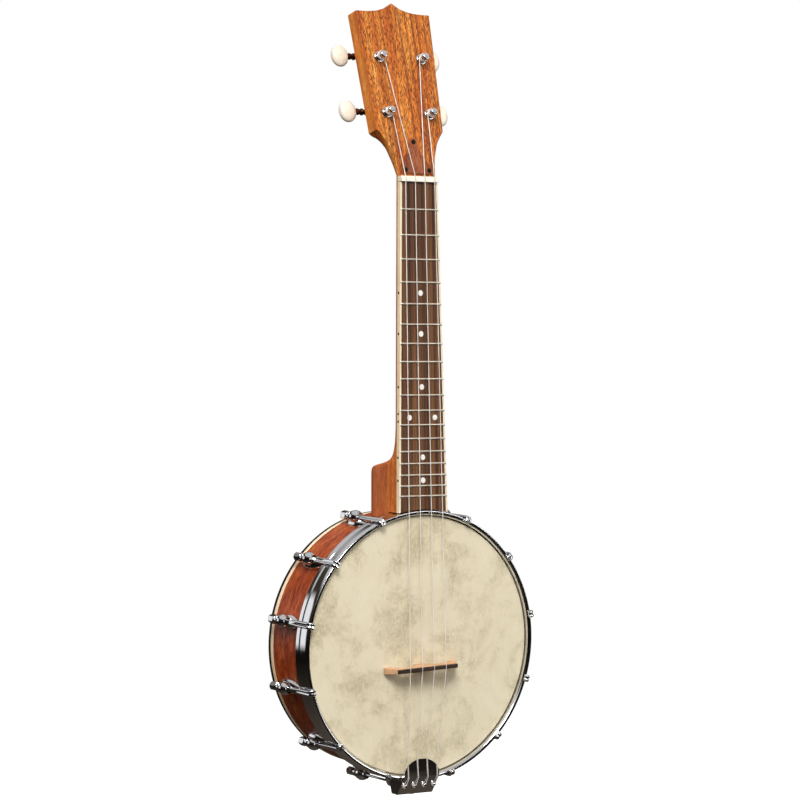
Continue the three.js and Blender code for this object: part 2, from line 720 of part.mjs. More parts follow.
// Each row: place as a share of the heel's reach, growth of depth and of squareness as shares
const heelGrowthShares = [
  [0.92, 0.01, 0.01], [0.8, 0.07, 0.02], [0.71, 0.15, 0.06], [0.655, 0.27, 0.1], [0.615, 0.41, 0.2],
  [0.585, 0.6, 0.42], [0.56, 0.82, 0.75], [0.54, 0.93, 0.92], [0.5, 0.985, 1], [0.44, 1, 1],
];
function neckSection(station, top, halfWidth, depth, power) {
  return Array.from({ length: sectionPoints + 1 }, (_, i) => {
    const turn = Math.PI * i / sectionPoints;
    const c = Math.cos(turn);
    return new THREE.Vector3(halfWidth * Math.sign(c) * Math.abs(c) ** (2 / power),
      top + depth * Math.abs(Math.sin(turn)) ** (2 / power), station);
  });
}

function neckAndHeelBody() {
  const rings = [];
  const start = heelStart;
  rings.push(neckSection(start, neckTop, boardHalfWidth(start), heelDepth, heelPower));
  for (const [place, growth, square] of [...heelGrowthShares].reverse()) {
    const station = place * heelReach;
    const depth = neckDepthAtHeel + (heelDepth - neckDepthAtHeel) * growth;
    const power = neckPower + (heelPower - neckPower) * square;
    rings.push(neckSection(station, neckTop, boardHalfWidth(station), depth, power));
  }
  const nutEnd = nutStation + nutLengthAlongNeck;
  rings.push(neckSection(heelReach, neckTop, boardHalfWidth(heelReach), neckDepthAtHeel, neckPower));
  rings.push(neckSection(nutEnd, neckTop, boardHalfWidth(nutEnd), neckDepthAtNut, neckPower));
  const insideHead = nutEnd + headstockThickness * 0.7;
  rings.push(neckSection(insideHead, neckTop, boardHalfWidth(nutEnd), neckDepthAtNut, neckPower));
  return loft(rings);
}

// Each row of the throat: half width as a share of the shoulder's, place as a share of its height, and
// squareness as a share of the way from the neck's round section to the shoulder's
const throatShares = [[0.6, 0.26, 0.06], [0.655, 0.46, 0.1], [0.755, 0.7, 0.16], [0.9, 0.9, 0.4], [1, 1, 1]];
const crestShares = [[0.69, 0.02], [0.44, 0.14], [0.26, 0.36], [0.18, 0.5], [0, 1]];

function throatBody() {
  const ring = (place, halfWidth, square) => neckSection(place, 0, halfWidth, headstockThickness,
    neckPower + (throatPower - neckPower) * square);
  const rings = [ring(0, boardHalfWidth(nutStation + nutLengthAlongNeck), 0)];
  for (const [across, along, square] of throatShares) {
    rings.push(ring(headstockShoulder * along, headstockBottomHalfWidth * across, square));
  }
  const inSlab = headstockShoulder + headstockThickness / 4;
  rings.push(ring(inSlab, headstockBottomHalfWidth, 1));
  return loft(rings);
}

// The square upper part's outline, from the shoulder to the crest
function headstockOutline() {
  const right = [[headstockBottomHalfWidth, headstockShoulder], [headstockTopHalfWidth, headstockCorner]];
  for (const [across, along] of crestShares) {
    const place = headstockCorner + (headstockLength - headstockCorner) * along;
    right.push([headstockTopHalfWidth * across, place]);
  }
  const left = right.slice(0, -1).reverse().map(([x, z]) => [-x, z]);
  return [...right, ...left];
}

const postPlaces = [
  { name: 'lower_left', side: -1, station: lowerPostStation },
  { name: 'upper_left', side: -1, station: upperPostStation },
  { name: 'upper_right', side: 1, station: upperPostStation },
  { name: 'lower_right', side: 1, station: lowerPostStation },
];

function potRoom() {
  const front = -(headHeight + hoopRise + cutOverrun * 2);
  const hoopRoom = hoopOuterRadius + hoopClearance;
  const hoopFloor = hoopBottom + hoopClearance;
  const rimRoom = rimOuterRadius + seatGap;
  return inNeck(spunY([
    [0, front], [hoopRoom, front], [hoopRoom, hoopFloor], [rimRoom, hoopFloor], [rimRoom, cutOverrun],
    [0, cutOverrun]]));
}

function buildNeck() {
  const body = neckAndHeelBody();
  const wide = boardEndWidth + cutOverrun;
  const far = nutStation + headstockLength;
  const upper = box(-wide, wide, 0, glueDepth, -jointRadius, far);
  const nearNut = heelReach;
  const behind = box(-wide, wide, 0, heelDepth * 2, nearNut, far);
  const room = potRoom();
  const neckWood = common(body, joined(upper, behind));

  const slab = prismY(headstockOutline(), 0, headstockThickness);
  const head = joined(slab, throatBody()).applyMatrix4(headToNeck);
  const aboveFace = box(-wide, wide, -headstockThickness * 2, 0, 0, headstockLength).applyMatrix4(headToNeck);
  const channel = box(-trussChannelWidth / 2, trussChannelWidth / 2, 0, neckTop + trussChannelDepth,
    trussRodStart - seatGap, nutStation + nutLengthAlongNeck + cutOverrun);
  const pocket = box(-pocketWidth / 2, pocketWidth / 2, -cutOverrun, pocketDepth, coverStart * 2,
    coverStart + pocketLength).applyMatrix4(headToNeck);
  const inHead = (drill, x, z) => moved(drill, x, 0, z).applyMatrix4(headToNeck);
  const well = drillY(bushingRadius + seatGap, -cutOverrun, headstockThickness + cutOverrun, roundSides);
  const wells = postPlaces.map(({ side, station }) => inHead(well, side * postHalfSpacing, station));
  const coverHole = drillY(coverScrewRadius + seatGap, -cutOverrun, coverScrewLength + seatGap);
  const coverHoles = coverScrewPlaces.map(([x, z]) => inHead(coverHole, x, z));
  const plateHole = drillY(plateScrewRadius + seatGap, headstockThickness - plateScrewLength,
    headstockThickness + cutOverrun);
  const plateHoles = postPlaces.flatMap(({ side, station }) =>
    plateScrewPlaces.map((offset) => inHead(plateHole, side * postHalfSpacing, station + offset)));
  const heelHole = drillZ(rodEndRadius + seatGap, rimInnerRadius, rimOuterRadius + rodHeelReach + seatGap);
  const heelHoles = [rodHeight, neckBoltHeight].map((height) => inNeck(moved(heelHole, 0, -height, 0)));

  const whole = joined(cut(neckWood, aboveFace), head);
  add('neck', cut(whole, room, channel, pocket, ...wells, ...coverHoles, ...plateHoles, ...heelHoles),
    mahogany, neckFrame);
  const lower = box(-wide, wide, glueDepth + seatGap, heelDepth * 2, -jointRadius, heelReach - seatGap);
  add('heel_block', cut(common(body, lower), room, ...heelHoles), rimMahogany, neckFrame);
}

// The frets are one piece with the board here. Each crown runs out over the binding, clear of it.
function fretBody(fret) {
  const z = fretStation(fret);
  const crown = fretRise - seatGap;
  const half = boardHalfWidth(z) - fretInset;
  const bead = prismX([[crown, z - fretWidth / 2], [0, z - fretWidth / 5], [0, z + fretWidth / 5],
    [crown, z + fretWidth / 2]], -half, half);
  const rootHalf = boardHalfWidth(z) - bindingWidth - 2 * seatGap;
  const root = box(-rootHalf, rootHalf, crown / 2, boardTop + seatGap,
    z - fretWidth * 0.4, z + fretWidth * 0.4);
  return joined(bead, root);
}

function buildFretboard() {
  const start = heelStart;
  const wood = (station) => boardHalfWidth(station) - bindingWidth - seatGap;
  const board = prismY([[-wood(start), start], [wood(start), start], [wood(nutStation), nutStation],
    [-wood(nutStation), nutStation]], boardTop, boardUnder);
  const frets = Array.from({ length: fretCount }, (_, i) => fretBody(i + 1));
  add('fretboard', joined(cut(board, potRoom()), ...frets), darkWood, neckFrame);

  const inside = (station) => boardHalfWidth(station) - bindingWidth;
  const plan = [[inside(start), start], [boardHalfWidth(start), start],
    [boardHalfWidth(nutStation), nutStation], [inside(nutStation), nutStation]];
  const strip = cut(prismY(plan, boardTop, boardUnder), potRoom());
  add('fretboard_binding_right', strip, cream, neckFrame);
  add('fretboard_binding_left', strip.clone().scale(-1, 1, 1), cream, neckFrame);

  const front = nutStation + seatGap;
  const back = nutStation + nutLengthAlongNeck - seatGap;
  const nutHalf = boardHalfWidth(nutStation);
  const middle = nutStation + nutLengthAlongNeck / 2;
  const body = prismX([[boardUnder, front], [-nutCrown, front], [-nutCrown, middle],
    [-nutCrown / 3, back], [boardUnder, back]], -nutHalf, nutHalf);
  const slotHalf = stringRadius + seatGap;
  const slots = stringPlaceShares.map((place) => box(place * stringSpacingAtNut - slotHalf,
    place * stringSpacingAtNut + slotHalf, -cutOverrun, slotHalf - stringLiftAtNut,
    nutStation - cutOverrun, back + cutOverrun));
  add('nut', cut(body, ...slots), bone, neckFrame);
}

// The truss rod's cover is one piece with its three screws
function buildTrussRod() {
  const depth = neckTop + trussChannelDepth - trussRodRadius - seatGap;
  const nutFrom = nutStation + nutLengthAlongNeck + coverStart * 2 + seatGap;
  add('truss_rod', moved(spunZ([
    [0, trussRodStart], [trussRodRadius, trussRodStart], [trussRodRadius, nutFrom], [trussNutRadius, nutFrom],
    [trussNutRadius, nutFrom + trussNutLength], [0, nutFrom + trussNutLength]], screwSides), 0, depth, 0),
  steel, neckFrame);

  const tip = coverStart + coverLength;
  const edgeShares = [[1, 0], [1, 0.05], [0.87, 0.24], [0.62, 0.42], [0.36, 0.64], [0.26, 0.84]];
  const right = edgeShares.map(([across, along]) => [
    coverHalfWidth * across, coverStart + coverLength * along]);
  const left = [...right].reverse().map(([x, z]) => [-x, z]);
  const capPoints = 3;
  const cap = Array.from({ length: capPoints }, (_, i) => {
    const turn = Math.PI * (i + 0.5) / capPoints;
    return [coverTipRadius * Math.cos(turn), tip - coverTipRadius + coverTipRadius * Math.sin(turn)];
  });
  const cover = prismY([...right, ...cap, ...left], -coverThickness - seatGap, -seatGap);
  const face = -coverThickness - seatGap;
  const crown = face - coverScrewHeadHeight;
  const screw = spunY([
    [0, crown], [coverScrewHeadRadius * 0.6, crown], [coverScrewHeadRadius, face],
    [coverScrewHeadRadius, face + seatGap], [coverScrewRadius, face + seatGap],
    [coverScrewRadius, coverScrewLength], [0, coverScrewLength]], boltSides);
  add('truss_rod_cover', joined(cover, ...coverScrewPlaces.map(([x, z]) => moved(screw, x, 0, z))),
    rimMahogany, headFrame);
}

const coverScrewPlaces = [
  [coverHalfWidth * 0.77, coverStart + coverLength * 0.095],
  [-coverHalfWidth * 0.77, coverStart + coverLength * 0.095],
  [0, coverStart + coverLength - coverTipRadius],
];
const plateScrewInset = plateScrewHeadRadius * 1.5;
const plateScrewPlaces = [plateScrewInset - plateTailLength, plateNoseLength - plateScrewInset];

// Bridge: three feet under two arches, with a dark strip on top
function buildBridge() {
  const foot = -headHeight - seatGap;
  const top = -(headHeight + bridgeHeight);
  const under = top + bridgeStripHeight + seatGap;
  const outline = [];
  const halfFoot = bridgeFootLength / 2;
  const halfTop = bridgeTopLength / 2;
  outline.push([-halfFoot, foot], [-halfFoot, foot - bridgeFootHeight], [-halfTop, under], [halfTop, under],
    [halfFoot, foot - bridgeFootHeight], [halfFoot, foot]);
  const archSteps = 6;
  for (const side of [1, -1]) {
    for (let step = 0; step <= archSteps; step += 1) {
      const turn = Math.PI * step / archSteps;
      outline.push([side * bridgeArchPlace + bridgeArchHalfWidth * Math.cos(turn),
        foot - bridgeArchHeight * Math.sin(turn)]);
    }
  }
  const slab = prismZ(outline, bridgeStation - bridgeFootWidth / 2, bridgeStation + bridgeFootWidth / 2);
  const taper = prismX([
    [foot + cutOverrun, bridgeStation - bridgeFootWidth / 2], [foot, bridgeStation - bridgeFootWidth / 2],
    [top, bridgeStation - bridgeTopWidth / 2], [top, bridgeStation + bridgeTopWidth / 2],
    [foot, bridgeStation + bridgeFootWidth / 2], [foot + cutOverrun, bridgeStation + bridgeFootWidth / 2],
  ], -bridgeFootLength, bridgeFootLength);
  add('bridge_base', common(slab, taper), maple);
  const strip = box(-halfTop, halfTop, top, under - seatGap,
    bridgeStation - bridgeTopWidth / 2, bridgeStation + bridgeTopWidth / 2);
  const slotHalf = stringRadius + seatGap;
  const slots = stringPlaceShares.map((place) => box(place * stringSpacingAtBridge - slotHalf,
    place * stringSpacingAtBridge + slotHalf, top - cutOverrun, top + bridgeNotchDepth,
    bridgeStation - bridgeTopWidth, bridgeStation + bridgeTopWidth));
  add('bridge_top', cut(strip, ...slots), ebony);
}

// Strings: from a peg on the tailpiece over the bridge and the nut to a winding on the post
function buildStrings() {
  const wound = postWaistRadius + windingClearance + stringRadius;
  const nutBack = nutStation + nutLengthAlongNeck;
  const world = (x, y, z, frame) => new THREE.Vector3(x, y, z).applyMatrix4(frame);
  let least = Infinity;
  postPlaces.forEach(({ side, station }, i) => {
    const place = stringPlaceShares[i];
    const points = [];
    const pegX = place * stringSpacingAtTail;
    const lineFront = tailPlateFront - seatGap - stringRadius;
    const pegLoop = hookPegRadius + windingClearance + stringRadius;
    const pegFront = tailPegFace - hookPegLength / 2;
    points.push(new THREE.Vector3(pegX + pegLoop, pegFront, tailPegPlace - hookPegRadius));
    points.push(new THREE.Vector3(pegX + pegLoop, pegFront - stringRadius, tailPegPlace + hookPegRadius));
    points.push(new THREE.Vector3(pegX + pegLoop / 2, lineFront, tailPlateEnd));
    points.push(new THREE.Vector3(pegX, lineFront, tailPlateEnd + tailPlateLength * 0.4));
    points.push(new THREE.Vector3(pegX, lineFront, -tailTopRadius));
    const bridgeX = place * stringSpacingAtBridge;
    const bridgeY = -(headHeight + bridgeHeight) + bridgeNotchDepth - seatGap - stringRadius;
    points.push(new THREE.Vector3(bridgeX, bridgeY, bridgeStation - bridgeTopWidth / 2));
    points.push(new THREE.Vector3(bridgeX, bridgeY, bridgeStation + bridgeTopWidth / 2));
    const nutX = place * stringSpacingAtNut;
    points.push(world(nutX, -stringLiftAtNut, nutStation, neckToWorld));
    points.push(world(nutX, -stringLiftAtNut, nutBack - nutLengthAlongNeck / 2, neckToWorld));
    points.push(world(nutX, -stringLiftAtNut + stringRadius, nutBack, neckToWorld));

    const winding = [];
    const total = Math.round(windingLoops * windingSteps);
    for (let step = 0; step <= total; step += 1) {
      const turn = 2 * Math.PI * step / windingSteps;
      const x = side * (postHalfSpacing - wound * Math.cos(turn));
      const z = station + wound * Math.sin(turn);
      const y = -(windingStart + windingPitch * step / windingSteps);
      winding.push(world(x, y, z, headToWorld));
    }
    least = Math.min(least, leastGap(winding, windingSteps));
    points.push(...winding);
    add(`string_${i + 1}`, tubeAlong(points, stringRadius, 6), nylon);
  });
  console.log(`string windings: least gap to itself ${least.toFixed(2)} mm`);
}

function leastGap(points, stepsPerLoop) {
  let least = Infinity;
  for (let i = 0; i < points.length; i += 1) {
    for (let j = i + Math.round(stepsPerLoop / 2); j < points.length; j += 1) {
      least = Math.min(least, points[i].distanceTo(points[j]));
    }
  }
  return least - 2 * stringRadius;
}

// Tuning machines. Each is built at its post in the headstock's frame, with +Y towards the back.
const gearRadius = gearModule * gearTeeth / 2;
const wormLead = Math.PI * gearModule;
const wormCentre = gearRadius + wormPitchRadius;
const wormTipRadius = wormPitchRadius + gearModule * 0.8;
const wormRootRadius = wormPitchRadius - gearModule;
const plateFace = headstockThickness + seatGap;
const plateBack = plateFace + plateThickness;
const earInner = wormLength / 2 + earGap;
const earOuter = earInner + earThickness;
const shaftEndRadius = wormShaftRadius * 0.9;

function gearRing(y, turn) {
  const tip = gearRadius + gearModule * 0.8;
  const root = gearRadius - gearModule;
  const pitch = 2 * Math.PI / gearTeeth;
  const ring = [];
  for (let tooth = 0; tooth < gearTeeth; tooth += 1) {
    const centre = (tooth + 0.5) * pitch + turn;
    const wide = pitch * (toothShare + 0.1) / 2;
    const narrow = pitch * (toothShare - 0.12) / 2;
    for (const [offset, radius] of [[-wide, root], [-narrow, tip], [narrow, tip], [wide, root]]) {
      ring.push(new THREE.Vector3(radius * Math.sin(centre + offset), y, radius * Math.cos(centre + offset)));
    }
  }
  return ring;
}

// A post, its gear and the screw that holds the gear on turn as one piece
function postAndGear() {
  const leadSlope = wormLead / (2 * Math.PI * wormPitchRadius);
  const twist = gearWidth * leadSlope / gearRadius / 2;
  const gearFront = gearCentreDepth - gearWidth / 2;
  const gearBack = gearCentreDepth + gearWidth / 2;
  const gear = loft([gearRing(gearFront, -twist), gearRing(gearBack, twist)]);
  const front = -postExposed;
  const waistFrom = -(bushingFlangeHeight + 2 * seatGap + postRadius / 3);
  const waistTo = front + postRadius * 0.9;
  const neckRadius = postRadius * 0.85;
  const post = spunY([
    [0, front], [postRadius * 0.8, front], [postRadius, front + postRadius * 0.2],
    [postRadius, waistTo - postRadius / 4],
    [postWaistRadius, waistTo], [postWaistRadius, waistFrom], [postRadius, waistFrom + postRadius / 6],
    [postRadius, headstockThickness], [neckRadius, headstockThickness],
    [neckRadius, gearBack], [0, gearBack],
  ], screwSides);
  const hole = moved(drillX(postHoleRadius, -postRadius * 2, postRadius * 2),
    0, waistTo + postHoleRadius * 1.4, 0);
  const crown = gearBack + gearScrewHeadHeight;
  const screwHead = spunY([
    [0, gearFront], [gearScrewHeadRadius, gearFront], [gearScrewHeadRadius, crown - gearScrewHeadHeight / 2],
    [gearScrewHeadRadius * 0.8, crown], [0, crown]], screwSides);
  return cut(joined(post, gear, screwHead), hole);
}

// The worm's thread is right-handed on both sides, and a crest stands over the post's axis. The
// shaft runs outwards, to the side that its button is on.
function wormShaft(side) {
  const ringsPerLead = 5;
  const ringPitch = wormLead / ringsPerLead;
  const threadRings = Math.floor(wormLength / ringPitch);
  const threadEnd = threadRings * ringPitch / 2;
  const journal = earOuter + earGap;
  const reach = buttonOffset + buttonTang;
  const neckRadius = wormShaftRadius * 1.2;
  const stations = [[-journal, wormShaftRadius], [-threadEnd - ringPitch / 2, wormShaftRadius]];
  for (let i = 0; i <= threadRings; i += 1) stations.push([i * ringPitch - threadEnd, null]);
  stations.push([threadEnd + ringPitch / 2, wormShaftRadius], [journal, wormShaftRadius],
    [journal, collarRadius], [journal + collarLength, collarRadius], [journal + collarLength, neckRadius],
    [buttonOffset - seatGap, neckRadius], [buttonOffset - seatGap, shaftEndRadius], [reach, shaftEndRadius]);
  return loft(stations.map(([place, radius]) => wormRing(side * place, radius)));
}

function wormRing(x, radius) {
  return Array.from({ length: screwSides }, (_, i) => {
    const reach = radius === null ? threadRadius(x / wormLead - i / screwSides) : radius;
    const turn = 2 * Math.PI * i / screwSides;
    const depth = gearCentreDepth + reach * Math.sin(turn);
    return new THREE.Vector3(x, depth, wormCentre - reach * Math.cos(turn));
  });
}

function threadRadius(phase) {
  const offset = Math.abs(phase - Math.round(phase));
  const crest = toothShare / 2 - wormBacklashShare;
  const flank = toothShare / 2 + wormBacklashShare;
  const share = THREE.MathUtils.clamp((flank - offset) / (flank - crest), 0, 1);
  return wormRootRadius + (wormTipRadius - wormRootRadius) * share;
}

// A base plate with two ears for the worm's shaft, and the two screws that hold it
function tunerPlate() {
  const body = box(-plateHalfWidth, plateHalfWidth, plateFace, plateBack, -plateTailLength, plateNoseLength);
  const earTop = gearCentreDepth + wormShaftRadius * 2.2;
  const ear = (from, to) => prismX([
    [plateBack - plateThickness / 2, wormCentre - earWidth / 2], [gearCentreDepth, wormCentre - earWidth / 2],
    [earTop, wormCentre - earWidth / 4], [earTop, wormCentre + earWidth / 4],
    [gearCentreDepth, wormCentre + earWidth / 2], [plateBack - plateThickness / 2, wormCentre + earWidth / 2],
  ], from, to);
  const postHole = drillY(postRadius + seatGap, 0, plateBack + cutOverrun, roundSides);
  const shaftDrill = drillX(wormShaftRadius + runningClearance, -earOuter - cutOverrun, earOuter + cutOverrun,
    screwSides);
  const shaftHole = moved(shaftDrill, 0, gearCentreDepth, wormCentre);
  const screw = spunY([
    [0, plateBack + plateScrewHeadHeight], [plateScrewHeadRadius * 0.6, plateBack + plateScrewHeadHeight],
    [plateScrewHeadRadius, plateBack], [plateScrewHeadRadius, plateFace + plateThickness / 2],
    [plateScrewRadius, plateFace + plateThickness / 2], [plateScrewRadius, plateFace - plateScrewLength],
    [0, plateFace - plateScrewLength]], boltSides);
  const screws = plateScrewPlaces.map((z) => moved(screw, 0, 0, z));
  const ears = [ear(-earOuter, -earInner), ear(earInner, earOuter)];
  return cut(joined(body, ...ears, ...screws), postHole, shaftHole);
}

function button(side) {
  // Each row: place along the button, half height and half thickness as shares of their largest
  const buttonShares = [[0, 0.3, 0.6], [0.1, 0.62, 0.8], [0.35, 0.95, 1], [0.65, 0.98, 1], [0.88, 0.72, 0.85],
    [1, 0.34, 0.5]];
  const rings = buttonShares.map(([place, high, thick]) => Array.from({ length: roundSides }, (_, i) => {
    const turn = 2 * Math.PI * i / roundSides;
    return new THREE.Vector3(side * (buttonOffset + buttonLength * place),
      gearCentreDepth + buttonHalfThickness * thick * Math.sin(turn),
      wormCentre + buttonHalfHeight * high * Math.cos(turn));
  }));
  const boreEnd = buttonOffset + buttonTang + seatGap;
  const bore = moved(drillX(shaftEndRadius + seatGap, buttonOffset - cutOverrun, boreEnd, screwSides),
    0, gearCentreDepth, wormCentre);
  if (side < 0) bore.scale(-1, 1, 1);
  return cut(loft(rings), outward(bore));
}

function bushing() {
  const inner = postRadius + runningClearance;
  return spunY([
    [inner, -bushingFlangeHeight - seatGap], [bushingFlangeRadius * 0.85, -bushingFlangeHeight - seatGap],
    [bushingFlangeRadius, -bushingFlangeHeight * 0.6 - seatGap], [bushingFlangeRadius, -seatGap],
    [bushingRadius, -seatGap], [bushingRadius, bushingLength], [inner, bushingLength]], roundSides);
}

function buildTuners() {
  for (const { name, side, station } of postPlaces) {
    const frame = new THREE.Group();
    frame.position.set(side * postHalfSpacing, 0, station);
    headFrame.add(frame);
    add(`tuner_plate_${name}`, tunerPlate(), chrome, frame);
    add(`post_gear_${name}`, postAndGear(), chrome, frame);
    add(`worm_shaft_${name}`, wormShaft(side), steel, frame);
    add(`button_${name}`, button(side), ivory, frame);
    add(`post_bushing_${name}`, bushing(), chrome, frame);
  }
}

buildRim();
buildBack();
buildHead();
buildTensionHoop();
buildBrackets();
buildRod();
buildTailpiece();
buildNeck();
buildFretboard();
buildTrussRod();
buildBridge();
buildStrings();
buildTuners();

export default instrument;
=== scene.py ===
"""A concert banjo ukulele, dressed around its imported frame.

Each sub-assembly is a class: its sizes are dataclass fields in millimetres, and its methods build the
pieces and dress them. Blender's own unit is the metre, so every point passes through MM once. The
frame is the CAD's: +Z towards the headstock, the head faces -Y, +X to the right of someone facing it.
"""
from __future__ import annotations

import logging
import math
from collections.abc import Iterator, Sequence
from contextlib import contextmanager
from dataclasses import dataclass
from enum import Enum
from functools import cached_property

import bmesh
import bpy
from mathutils import Matrix, Vector

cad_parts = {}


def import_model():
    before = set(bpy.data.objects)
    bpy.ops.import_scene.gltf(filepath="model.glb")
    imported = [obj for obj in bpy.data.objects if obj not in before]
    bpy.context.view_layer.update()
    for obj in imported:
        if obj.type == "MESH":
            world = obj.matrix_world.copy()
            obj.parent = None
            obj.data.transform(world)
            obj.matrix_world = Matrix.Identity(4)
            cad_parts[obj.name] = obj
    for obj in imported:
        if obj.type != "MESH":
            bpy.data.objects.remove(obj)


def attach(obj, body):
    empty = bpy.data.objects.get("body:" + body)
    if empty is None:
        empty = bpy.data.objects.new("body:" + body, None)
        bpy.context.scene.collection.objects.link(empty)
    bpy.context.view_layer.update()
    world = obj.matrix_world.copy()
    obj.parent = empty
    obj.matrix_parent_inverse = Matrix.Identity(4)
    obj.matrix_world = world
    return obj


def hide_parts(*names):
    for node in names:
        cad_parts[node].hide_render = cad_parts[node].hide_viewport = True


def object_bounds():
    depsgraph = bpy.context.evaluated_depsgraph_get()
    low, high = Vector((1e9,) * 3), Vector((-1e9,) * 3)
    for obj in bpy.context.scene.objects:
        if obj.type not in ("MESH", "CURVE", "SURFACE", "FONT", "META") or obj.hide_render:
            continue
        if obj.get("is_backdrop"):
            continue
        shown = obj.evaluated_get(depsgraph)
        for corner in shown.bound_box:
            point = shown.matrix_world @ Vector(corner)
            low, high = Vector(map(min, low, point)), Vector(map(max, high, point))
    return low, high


LOG = logging.getLogger("banjo_ukulele")
MM = 0.001
FULL_TURN = 2 * math.pi
ROOT = "root"

Outline = Sequence[tuple[float, float]]
Piece = bpy.types.Object


class Corner(Enum):
    """The four tuning machines: name, side (-1 is the left) and row (0 is the one by the nut)."""

    LOWER_LEFT = ("lower_left", -1, 0)
    UPPER_LEFT = ("upper_left", -1, 1)
    UPPER_RIGHT = ("upper_right", 1, 1)
    LOWER_RIGHT = ("lower_right", 1, 0)

    def __init__(self, label: str, side: int, row: int) -> None:
        """Names the corner's values."""
        self.label, self.side, self.row = label, side, row


class Axis(Enum):
    """An axis to spin about or extrude along, with the order that makes X, Y, Z of a drawn point."""

    X = (2, 0, 1)
    Y = (0, 2, 1)
    Z = (0, 1, 2)

    def point(self, *values: float) -> Vector:
        """The point that has two values across this axis and the third along it."""
        return Vector([values[i] for i in self.value])

    def profile_point(self, radius: float, along: float) -> Vector:
        """A profile's point, before it is spun about this axis."""
        return self.point(0.0, radius, along) if self is Axis.X else self.point(radius, 0.0, along)


class Cut(Enum):
    """How a tool body shapes a piece."""

    AWAY = "DIFFERENCE"
    COMMON = "INTERSECT"
    TOGETHER = "UNION"


# ---- modelling helpers ----


def select_only(piece: Piece) -> None:
    """Deselects everything, then selects one piece and makes it active.

    Args:
        piece: The piece to select.
    """
    bpy.ops.object.select_all(action="DESELECT")
    piece.select_set(True)
    bpy.context.view_layer.objects.active = piece


@contextmanager
def editing(piece: Piece) -> Iterator[None]:
    """Edit mode on one piece, with all of it selected at the start.

    Args:
        piece: The piece to edit.

    Yields:
        Nothing; the piece is in edit mode meanwhile.
    """
    select_only(piece)
    bpy.ops.object.mode_set(mode="EDIT")
    bpy.ops.mesh.select_all(action="SELECT")
    yield
    bpy.ops.object.mode_set(mode="OBJECT")


def start_ring(name: str, points: Sequence[Vector]) -> Piece:
    """Adds a circle with a vertex for each point, and moves each vertex to its point.

    Args:
        name: The new piece's name.
        points: The ring's points in order, in millimetres.

    Returns:
        The piece, a closed ring of edges.
    """
    bpy.ops.object.select_all(action="DESELECT")
    bpy.ops.mesh.primitive_circle_add(vertices=len(points), radius=MM)
    piece = bpy.context.object
    piece.name = name
    piece.data.name = name
    for vertex, point in zip(piece.data.vertices, points):
        vertex.co = point * MM
    return piece


def close_and_orient() -> None:
    """In edit mode, merges what coincides and turns all faces outwards."""
    bpy.ops.mesh.select_all(action="SELECT")
    bpy.ops.mesh.remove_doubles(threshold=MM / 1000)
    bpy.ops.mesh.dissolve_degenerate(threshold=MM / 1000)
    bpy.ops.mesh.select_all(action="SELECT")
    bpy.ops.mesh.normals_make_consistent(inside=False)


def rounded(points: Outline, radius: float, steps: int = 3) -> list[tuple[float, float]]:
    """Rounds the corners of a closed outline; corners on the axis of a profile stay.

    Args:
        points: The outline's corners.
        radius: How far from each corner its round starts, at most.
        steps: Chords in each round.

    Returns:
        The outline with a short curve at each corner.
    """
    result: list[tuple[float, float]] = []
    for i, corner in enumerate(points):
        here = Vector(corner)
        before = Vector(points[i - 1]) - here
        after = Vector(points[(i + 1) % len(points)]) - here
        straight = before.length * after.length == 0 or before.angle(after) > math.radians(172)
        if straight or corner[0] == 0:
            result.append(tuple(corner))
            continue
        start = here + before.normalized() * min(radius, before.length * 0.45)
        end = here + after.normalized() * min(radius, after.length * 0.45)
        for step in range(steps + 1):
            t = step / steps
            point = start * (1 - t) ** 2 + here * (2 * t * (1 - t)) + end * t**2
            result.append((point.x, point.y))
    return result


def turned(name: str, profile: Outline, steps: int = 48, axis: Axis = Axis.Y) -> Piece:
    """Spins a profile about an axis into a closed body.

    Args:
        name: The new piece's name.
        profile: (radius, place along the axis) points. One that starts and ends on the axis is
            closed by its poles.
        steps: Steps in a full turn.
        axis: The axis of the spin, through the origin.

    Returns:
        The closed piece.
    """
    piece = start_ring(name, [axis.profile_point(*point) for point in profile])
    mesh = piece.data
    last = len(profile) - 1
    if profile[0][0] == 0 and profile[last][0] == 0:
        for vertex in mesh.vertices:
            vertex.select = False
        for edge in mesh.edges:
            edge.select = set(edge.vertices) == {0, last}
        select_only(piece)
        bpy.ops.object.mode_set(mode="EDIT")
        bpy.ops.mesh.delete(type="EDGE")
        bpy.ops.object.mode_set(mode="OBJECT")
    with editing(piece):
        bpy.ops.mesh.spin(steps=steps, angle=FULL_TURN, center=(0, 0, 0), axis=axis.point(0, 0, 1))
        close_and_orient()
    return piece


def slab(name: str, outline: Outline, low: float, high: float, axis: Axis) -> Piece:
    """Fills an outline and extrudes it into a closed body.

    Args:
        name: The new piece's name.
        outline: The outline's points, square to the axis.
        low: Where the body starts along the axis.
        high: Where it ends.
        axis: The axis that it is extruded along.

    Returns:
        The closed piece.
    """
    piece = start_ring(name, [axis.point(*point, low) for point in outline])
    reach = axis.point(0, 0, (high - low) * MM)
    with editing(piece):
        bpy.ops.mesh.edge_face_add()
        bpy.ops.mesh.extrude_region_move(TRANSFORM_OT_translate={"value": reach})
        close_and_orient()
    return piece


def rectangle(left: float, right: float, low: float, high: float) -> list[tuple[float, float]]:
    """The outline of a plain rectangle, or the profile of a plain cylinder or ring."""
    return [(left, low), (right, low), (right, high), (left, high)]


def angles(steps: int, sweep: float = math.pi / 2, start: float = 0.0) -> list[float]:
    """Angles in equal steps through a sweep, with both its ends."""
    return [start + sweep * i / steps for i in range(steps + 1)]


def block(name: str, low: Sequence[float], high: Sequence[float]) -> Piece:
    """A box between its lowest and its highest corner."""
    return slab(name, rectangle(low[0], high[0], low[2], high[2]), low[1], high[1], Axis.Y)


